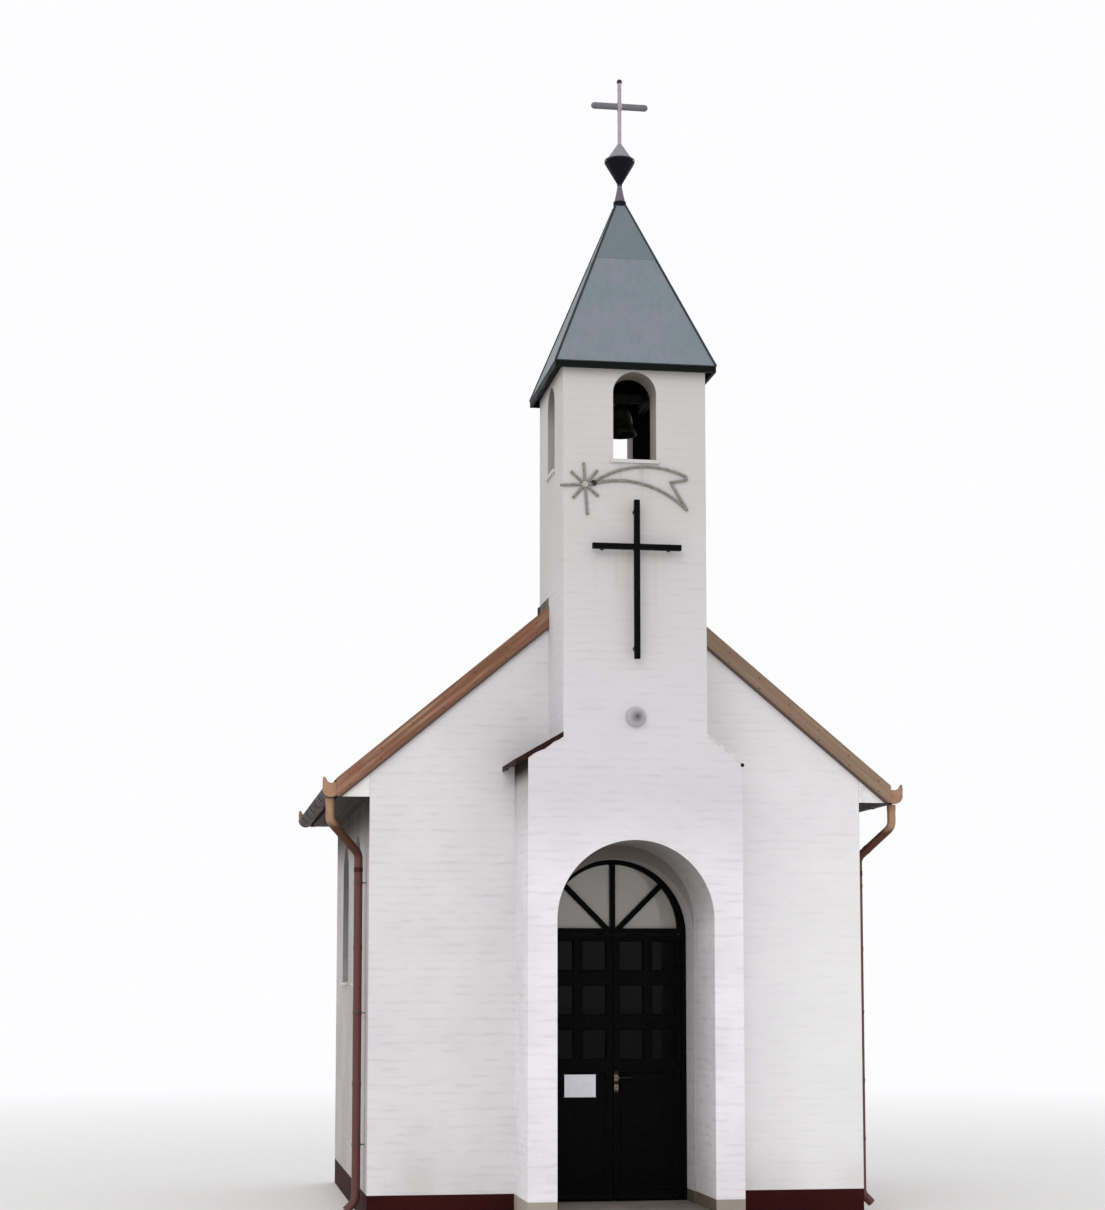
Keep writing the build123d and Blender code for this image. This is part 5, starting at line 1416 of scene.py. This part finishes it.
def clear_tape():
    """Clear tape: shows the paper's white where it lies on the sheet, and the door's black beside."""
    material, tree, shader, place = surface("clear_adhesive_tape", 0.3)
    axes = add(tree, "ShaderNodeSeparateXYZ", {0: place})
    masks = []
    for axis, least, most in (("X", sheet_left, sheet_right), ("Z", sheet_foot, sheet_top)):
        off = {0: axes.outputs[axis], 1: (least + most) / 2}
        off = add(tree, "ShaderNodeMath", off, operation="SUBTRACT")
        off = add(tree, "ShaderNodeMath", {0: off}, operation="ABSOLUTE")
        half = (most - least) / 2
        masks.append(add(tree, "ShaderNodeMapRange", {0: off, 1: half + 0.001, 2: half}))
    wire(shader, {"Base Color": coats(tree, "161618", (product(tree, *masks), "EDECF2"))})
    wire(shader, {"Specular IOR Level": 0.2})
    return material


bm = bmesh.new()
for x in (sheet_left, sheet_right):
    for z in (sheet_foot, sheet_top):
        low = (x - 0.015, leaf_face - 0.0032, z - 0.009)
        timber(bm, low, (x + 0.015, leaf_face - 0.0005, z + 0.009), 0.0004)
shaped("notice_tapes", bm, clear_tape(), "door_left", "door_black")
hinge_x = 0.6552
hinge_depth = 0.369
hinge_half = 0.0597
bm = bmesh.new()
knob = [(0, -0.001), (0.009, -0.001), (0.009, 0.003), (0.0045, 0.008), (0, 0.0085)]
for side in (-1, 1):
    for level in (0.48, 1.42, 2.33):
        for turn in (-1, 1):
            tip = facing((side * hinge_x, hinge_depth, level + turn * hinge_half), (0, 0, turn))
            turned(bm, knob, tip, 14)
shaped("hinge_finials", bm, iron, "building", "door_black")


# Side windows
# Softwood frames painted white, one mullion and one cross bar, the panes puttied in from outside.
# The paint is weathered to a dull grey-white, with a green tinge in patches.
window_face = half_nave - 0.12
window_middles = (window_from_end, nave_length - window_from_end)
# Oil paint that chalks in the rain: off-white, with grey-green patches 50 mm wide and a low shine.
window_white = coated("weathered_white_paint", "D9DAD3", "A9AC9E", 0.5, 0.05, 0.0008)
paint(window_white, "window_frames_left", "window_frames_right")
# Old drawn glass: clear with a grey-green tint, its dust film just blunting what it mirrors.
old_glass = window_glass("old_window_glass", "B9C4C6", 0.12)
paint(old_glass, "window_glass_left", "window_glass_right")
# Linseed putty smoothed with a knife: cream and matt, with grey crazing.
putty = coated("linseed_putty", "C9C6BC", "9C988B", 0.7, 0.02, 0.0006)


def putty_fillet(bm, side, path, centre):
    """Sloped putty round a pane: from the bars' outer face to the glass, closed round its path."""
    rings = []
    count = len(path)
    for number in range(count):
        before, here, after = (Vector(path[(number + turn) % count]) for turn in (-1, 0, 1))
        inward = ((before - here).normalized() + (after - here).normalized())
        if inward.length < 0.02:
            inward = Vector(centre) - here
        inward = inward.normalized() * 0.011
        if inward.dot(Vector(centre) - here) < 0:
            inward = -inward
        tip = here + inward
        ring = [(window_face - 0.022, *here), (window_face - 0.004, *here)]
        ring.append((window_face - 0.0235, *tip))
        rings.append([(side * x, y, z) for x, y, z in ring])
    lofted(bm, rings, looped=True)


pane_inset = 0.0203
window_jamb = 0.3497
pane_foot = window_sill + 0.0905
cross_bar_foot = window_spring - 0.0205
cross_bar_top = window_spring + 0.0205
arc = [radians(4 + 81 * step / 10) for step in range(11)]
for side, label in ((-1, "left"), (1, "right")):
    bm = bmesh.new()
    for middle in window_middles:
        for hand in (-1, 1):
            inner, outer = middle + hand * pane_inset, middle + hand * window_jamb
            square = [(inner, pane_foot), (outer, pane_foot)]
            square += [(outer, cross_bar_foot), (inner, cross_bar_foot)]
            putty_fillet(bm, side, square, ((inner + outer) / 2, 2.7))
            bow = [(window_jamb * cos(turn), window_jamb * sin(turn)) for turn in arc]
            bow = [(middle + hand * y, window_spring + z) for y, z in bow if y > pane_inset]
            bow = [(y, max(z, cross_bar_top)) for y, z in bow]
            bow += [(inner, window_spring + 0.3485), (inner, cross_bar_top)]
            putty_fillet(bm, side, bow, (middle + hand * 0.15, window_spring + 0.14))
    shaped(f"window_putty_{label}", bm, putty, "building", "window_wood")


# Cross, lamp and comet on the tower's front
# The cross is square steel bar painted black, welded where it crosses, on pegs with washers.
# The lamp is opal glass in a metal rim; the comet is bent light tube, held by clips at a hub.
cross_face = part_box("wall_cross")[0].y
tower_face = tower_low.y
cross_half = 0.024
weld_leg = 0.01
weld_length = 0.04
# Enamel on steel bar: black, nearly without shine, a touch browner where it weathers.
cross_black = coated("black_cross_enamel", "060606", "100E0D", 0.5, 0.04, 0.0006, specular=0.04)
paint(cross_black, "wall_cross")
bm = bmesh.new()
washer = [(0, -0.001), (0.024, -0.001), (0.024, 0.002), (0.022, 0.0035), (0, 0.0035)]
for x, z in ((0, 6.43), (0, 5.18), (-0.3075, wall_cross_bar), (0.3075, wall_cross_bar)):
    turned(bm, washer, facing((x, tower_face, z), (0, -1, 0)), 20)
for u in (-1, 1):
    for v in (-1, 1):
        corner = Vector((u * cross_half, cross_face + 0.004, wall_cross_bar + v * cross_half))
        aside = corner + Vector((u * weld_leg, 0.002, 0))
        above = corner + Vector((0, 0.002, v * weld_leg))
        prism(bm, [corner, aside, above], (0, weld_length, 0))
shaped("wall_cross_fixings", bm, cross_black, "building", "dark_sheet")

lamp = Vector((0, tower_face, 4.56))


def opal_glass():
    """Opal glass, grimy, its bulb and socket showing dark through the middle."""
    material, tree, shader, place = surface("opal_lamp_glass", 0.35)
    off = add(tree, "ShaderNodeVectorMath", {0: place, 1: lamp}, operation="SUBTRACT")
    off = add(tree, "ShaderNodeVectorMath", {0: off, 1: (1, 0, 1)}, operation="MULTIPLY")
    off = add(tree, "ShaderNodeVectorMath", {0: off}, operation="LENGTH").outputs["Value"]
    shade_and_grime = add(tree, "ShaderNodeTexNoise", {"Vector": place, "Scale": 1 / 0.04, "Detail": 4.0})
    middle = add(tree, "ShaderNodeMapRange", {0: off, 1: 0.08, 2: 0.005})
    shade_and_grime = add(tree, "ShaderNodeMapRange", {0: shade_and_grime, 1: 0.45, 2: 0.7, 4: 0.4})
    wire(shader, {"Base Color": coats(tree, "B9B7BB", (shade_and_grime, "A3A1A5"), (middle, "4C4850"))})
    return material


paint(opal_glass(), "wall_lamp")
bm = bmesh.new()
bezel_radius = 0.0905
bezel = [(0.0755, 0.004), (0.0885, 0.004), (bezel_radius, 0.007), (bezel_radius, 0.027)]
bezel += [(0.0885, 0.031), (0.0855, 0.0315), (0.0755, 0.004)]
turned(bm, bezel, facing(lamp, (0, -1, 0)), 48)
for turn in (0.5, 2.6, 4.7):
    outwards = Vector((cos(turn), 0, sin(turn)))
    turned(bm, nail_head, facing(lamp + outwards * bezel_radius + Vector((0, -0.018, 0)), outwards), 10)
# Steel rim, once painted white: pale grey with a soft gloss, duller in small patches.
rim_paint = coated("lamp_rim_painted_white", "B9B7B9", "9C9A9C", 0.5, 0.02, 0.0004)
shaped("lamp_bezel", bm, rim_paint, "building", "lamp_glass")


def arc_through(start, middle, end, steps):
    """Points along the circle's arc through three flat points."""
    (ax, ay), (bx, by), (cx, cy) = start, middle, end
    turn = 2 * (ax * (by - cy) + bx * (cy - ay) + cx * (ay - by))
    a, b, c = ax * ax + ay * ay, bx * bx + by * by, cx * cx + cy * cy
    x = (a * (by - cy) + b * (cy - ay) + c * (ay - by)) / turn
    y = (a * (cx - bx) + b * (ax - cx) + c * (bx - ax)) / turn
    radius = hypot(ax - x, ay - y)
    first, last = atan2(ay - y, ax - x), atan2(cy - y, cx - x)
    angles = [first + (last - first) * step / steps for step in range(steps + 1)]
    return [(x + radius * cos(angle), y + radius * sin(angle)) for angle in angles]


tube_radius = 0.0125
comet_centre = Vector((-0.461, tower_face - tube_radius, 6.676))
comet_reach = 0.96
comet_root = 0.02
ray_shares = (0.088, 0.179, 0.204, 0.179, 0.238, 0.179, 0.29, 0.167)
ray_turn = 4
# Extruded soft plastic over a string of lamps: unlit it is a clouded grey-beige with a soft gloss.
light_tube = coated("light_tube_clouded", "8C8A80", "6F6C62", 0.4, 0.04, 0.0004)
# Moulded clips, once clear: a little darker and duller than the tube that they hold.
clip_plastic = coated("clear_clip_plastic", "7E7B71", "625F55", 0.45, 0.02, 0.0003)
# Wound black tape, greyed by the sun: dark, with faint edges where the turns overlap.
knot_tape = coated("black_insulating_tape", "1C1A17", "322E25", 0.5, 0.01, 0.0008)


def comet_point(x, y):
    """A point of the comet, from shares of its reach."""
    return comet_centre + comet_reach * Vector((x, 0, y))


turns = [radians(45 * number + ray_turn) for number in range(len(ray_shares))]
tips = [comet_point(share * cos(turn), share * sin(turn)) for share, turn in zip(ray_shares, turns)]
roots = [comet_point(comet_root * cos(turn), comet_root * sin(turn)) for turn in turns]
rays = bpy.data.meshes.new("comet_rays")
ray_ends = [point for pair in zip(roots, tips) for point in pair]
rays.from_pydata(ray_ends, [(2 * number, 2 * number + 1) for number in range(len(tips))], [])
upper = arc_through((0.094, 0.031), (0.538, 0.186), (0.975, 0.104), 28)
lower = arc_through((1.0, -0.24), (0.562, 0.019), (0.094, 0.012), 28)
tail = upper + [(0.984, 0.073), (0.823, 0.044), (0.925, -0.124)] + lower
tail = [comet_point(x, y) for x, y in tail]
sizes = {"Radius": tube_radius, "Bend": 0.012, "Steps": 5, "Sides": 16, "Finish": light_tube}
paint(light_tube, "comet_star")
settle("comet_rays", made_by(bent_tube, rays, sizes), None, "building", "comet_tube", "comet_star")
bow = made_by(bent_tube, path_mesh("comet_tail", tail), sizes)
settle("comet_tail", bow, None, "building", "comet_tube")
bm = bmesh.new()
cap = [(0, -0.012), (0.0125, -0.012), (0.0138, -0.01), (0.0138, 0.001), (0.0105, 0.004), (0, 0.0045)]
for root, tip in zip(roots, tips):
    along = (tip - root).normalized()
    turned(bm, cap, facing(tip - along * 0.003, along), 16)
    turned(bm, ring_band(0.0123, 0.0014, 0.006), facing(root.lerp(tip, 0.55), along), 14)
clip_stride = 4
for number in range(2, len(tail) - 2, clip_stride):
    along = tail[number + 1] - tail[number - 1]
    turned(bm, ring_band(0.0123, 0.0014, 0.007), facing(tail[number], along), 14)
shaped("comet_clips", bm, clip_plastic, "building", "comet_tube")
bm = bmesh.new()
hub = [(0, -0.011), (0.026, -0.011), (0.03, -0.006), (0.03, 0.006), (0.026, 0.012)]
hub += [(0.01, 0.0145), (0, 0.015)]
turned(bm, hub, facing(comet_centre, (0, -1, 0)), 24)
# Moulded plastic bleached by the sun: pale grey-beige, smooth, with a soft gloss.
hub_plastic = coated("hub_plastic_bleached", "B4B1A8", "9A978D", 0.45, 0.02, 0.0003)
shaped("comet_hub", bm, hub_plastic, "building", "comet_tube")
bm = bmesh.new()
knot = comet_point(0.088, 0.018)
for shift, radius in ((-0.02, 0.022), (-0.006, 0.029), (0.008, 0.026), (0.021, 0.02)):
    lump = [(0, -0.009), (radius * 0.8, -0.008), (radius, -0.003), (radius, 0.003)]
    lump += [(radius * 0.8, 0.008), (0, 0.009)]
    turned(bm, lump, facing(knot + Vector((shift, 0.006, shift * 0.3)), (1, 0, 0.3)), 14)
shaped("comet_knot", bm, knot_tape, "building", "comet_tube")


# Photograph's view, the studio floor and its light
# The eye stands 21 m in front, 2.2 m above the ground and 4 m left of the axis, turned right.
# The sky is soft and white all round, and one large lamp adds to it from the left and the front.
eye = Vector((-4.0, -21.15, 2.23))
turn_right = 9.07
look_up = 5.61
focal_pixels = 2308.6
image_height = 1210
sensor = 36.0
camera = bpy.data.objects.new("camera", bpy.data.cameras.new("camera"))
camera.location = eye
camera.rotation_euler = (radians(90 + look_up), 0, -radians(turn_right))
camera.data.sensor_width = sensor
camera.data.lens = focal_pixels * sensor / image_height
camera.data.shift_y = 0.12
camera.data.clip_end = 500
bpy.context.scene.collection.objects.link(camera)
bpy.context.scene.camera = camera


def studio_floor():
    """Pale level floor round the building, fading to white away from it."""
    reach = 150.0
    bm = bmesh.new()
    bmesh.ops.create_grid(bm, x_segments=1, y_segments=1, size=reach)
    mesh = bpy.data.meshes.new("studio_floor")
    bm.to_mesh(mesh)
    bm.free()
    floor = bpy.data.objects.new("studio_floor", mesh)
    floor.location.z = -0.002
    bpy.context.scene.collection.objects.link(floor)
    material, tree, shader, place = surface("studio_floor", 0.9)
    wire(shader, {"Base Color": linear("EDECEA"), "Specular IOR Level": 0.2})
    distance = add(tree, "ShaderNodeVectorMath", {0: place}, operation="LENGTH")
    far = add(tree, "ShaderNodeMapRange", {0: distance.outputs["Value"], 1: 9.0, 2: 26.0})
    path = add(tree, "ShaderNodeLightPath")
    seen = add(tree, "ShaderNodeMath", {0: path.outputs["Is Camera Ray"], 1: far}, operation="MULTIPLY")
    white = add(tree, "ShaderNodeEmission", {"Color": linear("FDFDFF"), "Strength": 1.0})
    mixed = add(tree, "ShaderNodeMixShader", {0: seen, 1: shader, 2: white})
    wire(tree.nodes["Material Output"], {"Surface": mixed})
    mesh.materials.append(material)


def sky():
    """White world: full strength to the eye, to gloss and through glass, less as light."""
    world = bpy.data.worlds.new("sky")
    bpy.context.scene.world = world
    world.use_nodes = True
    tree = world.node_tree
    path = add(tree, "ShaderNodeLightPath")
    seen = path.outputs["Is Camera Ray"]
    for ray in ("Is Glossy Ray", "Is Transmission Ray"):
        seen = add(tree, "ShaderNodeMath", {0: seen, 1: path.outputs[ray]}, operation="MAXIMUM")
    strength = add(tree, "ShaderNodeMapRange", {0: seen, 3: 0.9, 4: 1.0})
    wire(tree.nodes["Background"], {"Color": linear("FDFDFF"), "Strength": strength})


def soft_light(name, place, aim, size, watts):
    """Large square lamp that lights from one side."""
    data = bpy.data.lights.new(name, "AREA")
    data.size = size
    data.energy = watts
    lamp = bpy.data.objects.new(name, data)
    lamp.location = place
    lamp.rotation_euler = (Vector(place) - Vector(aim)).to_track_quat("Z", "Y").to_euler()
    bpy.context.scene.collection.objects.link(lamp)


studio_floor()
sky()
soft_light("key", (-9, -22, 18), (0, 0, 4), 18.0, 1350)
bpy.context.scene.view_settings.view_transform = "Standard"
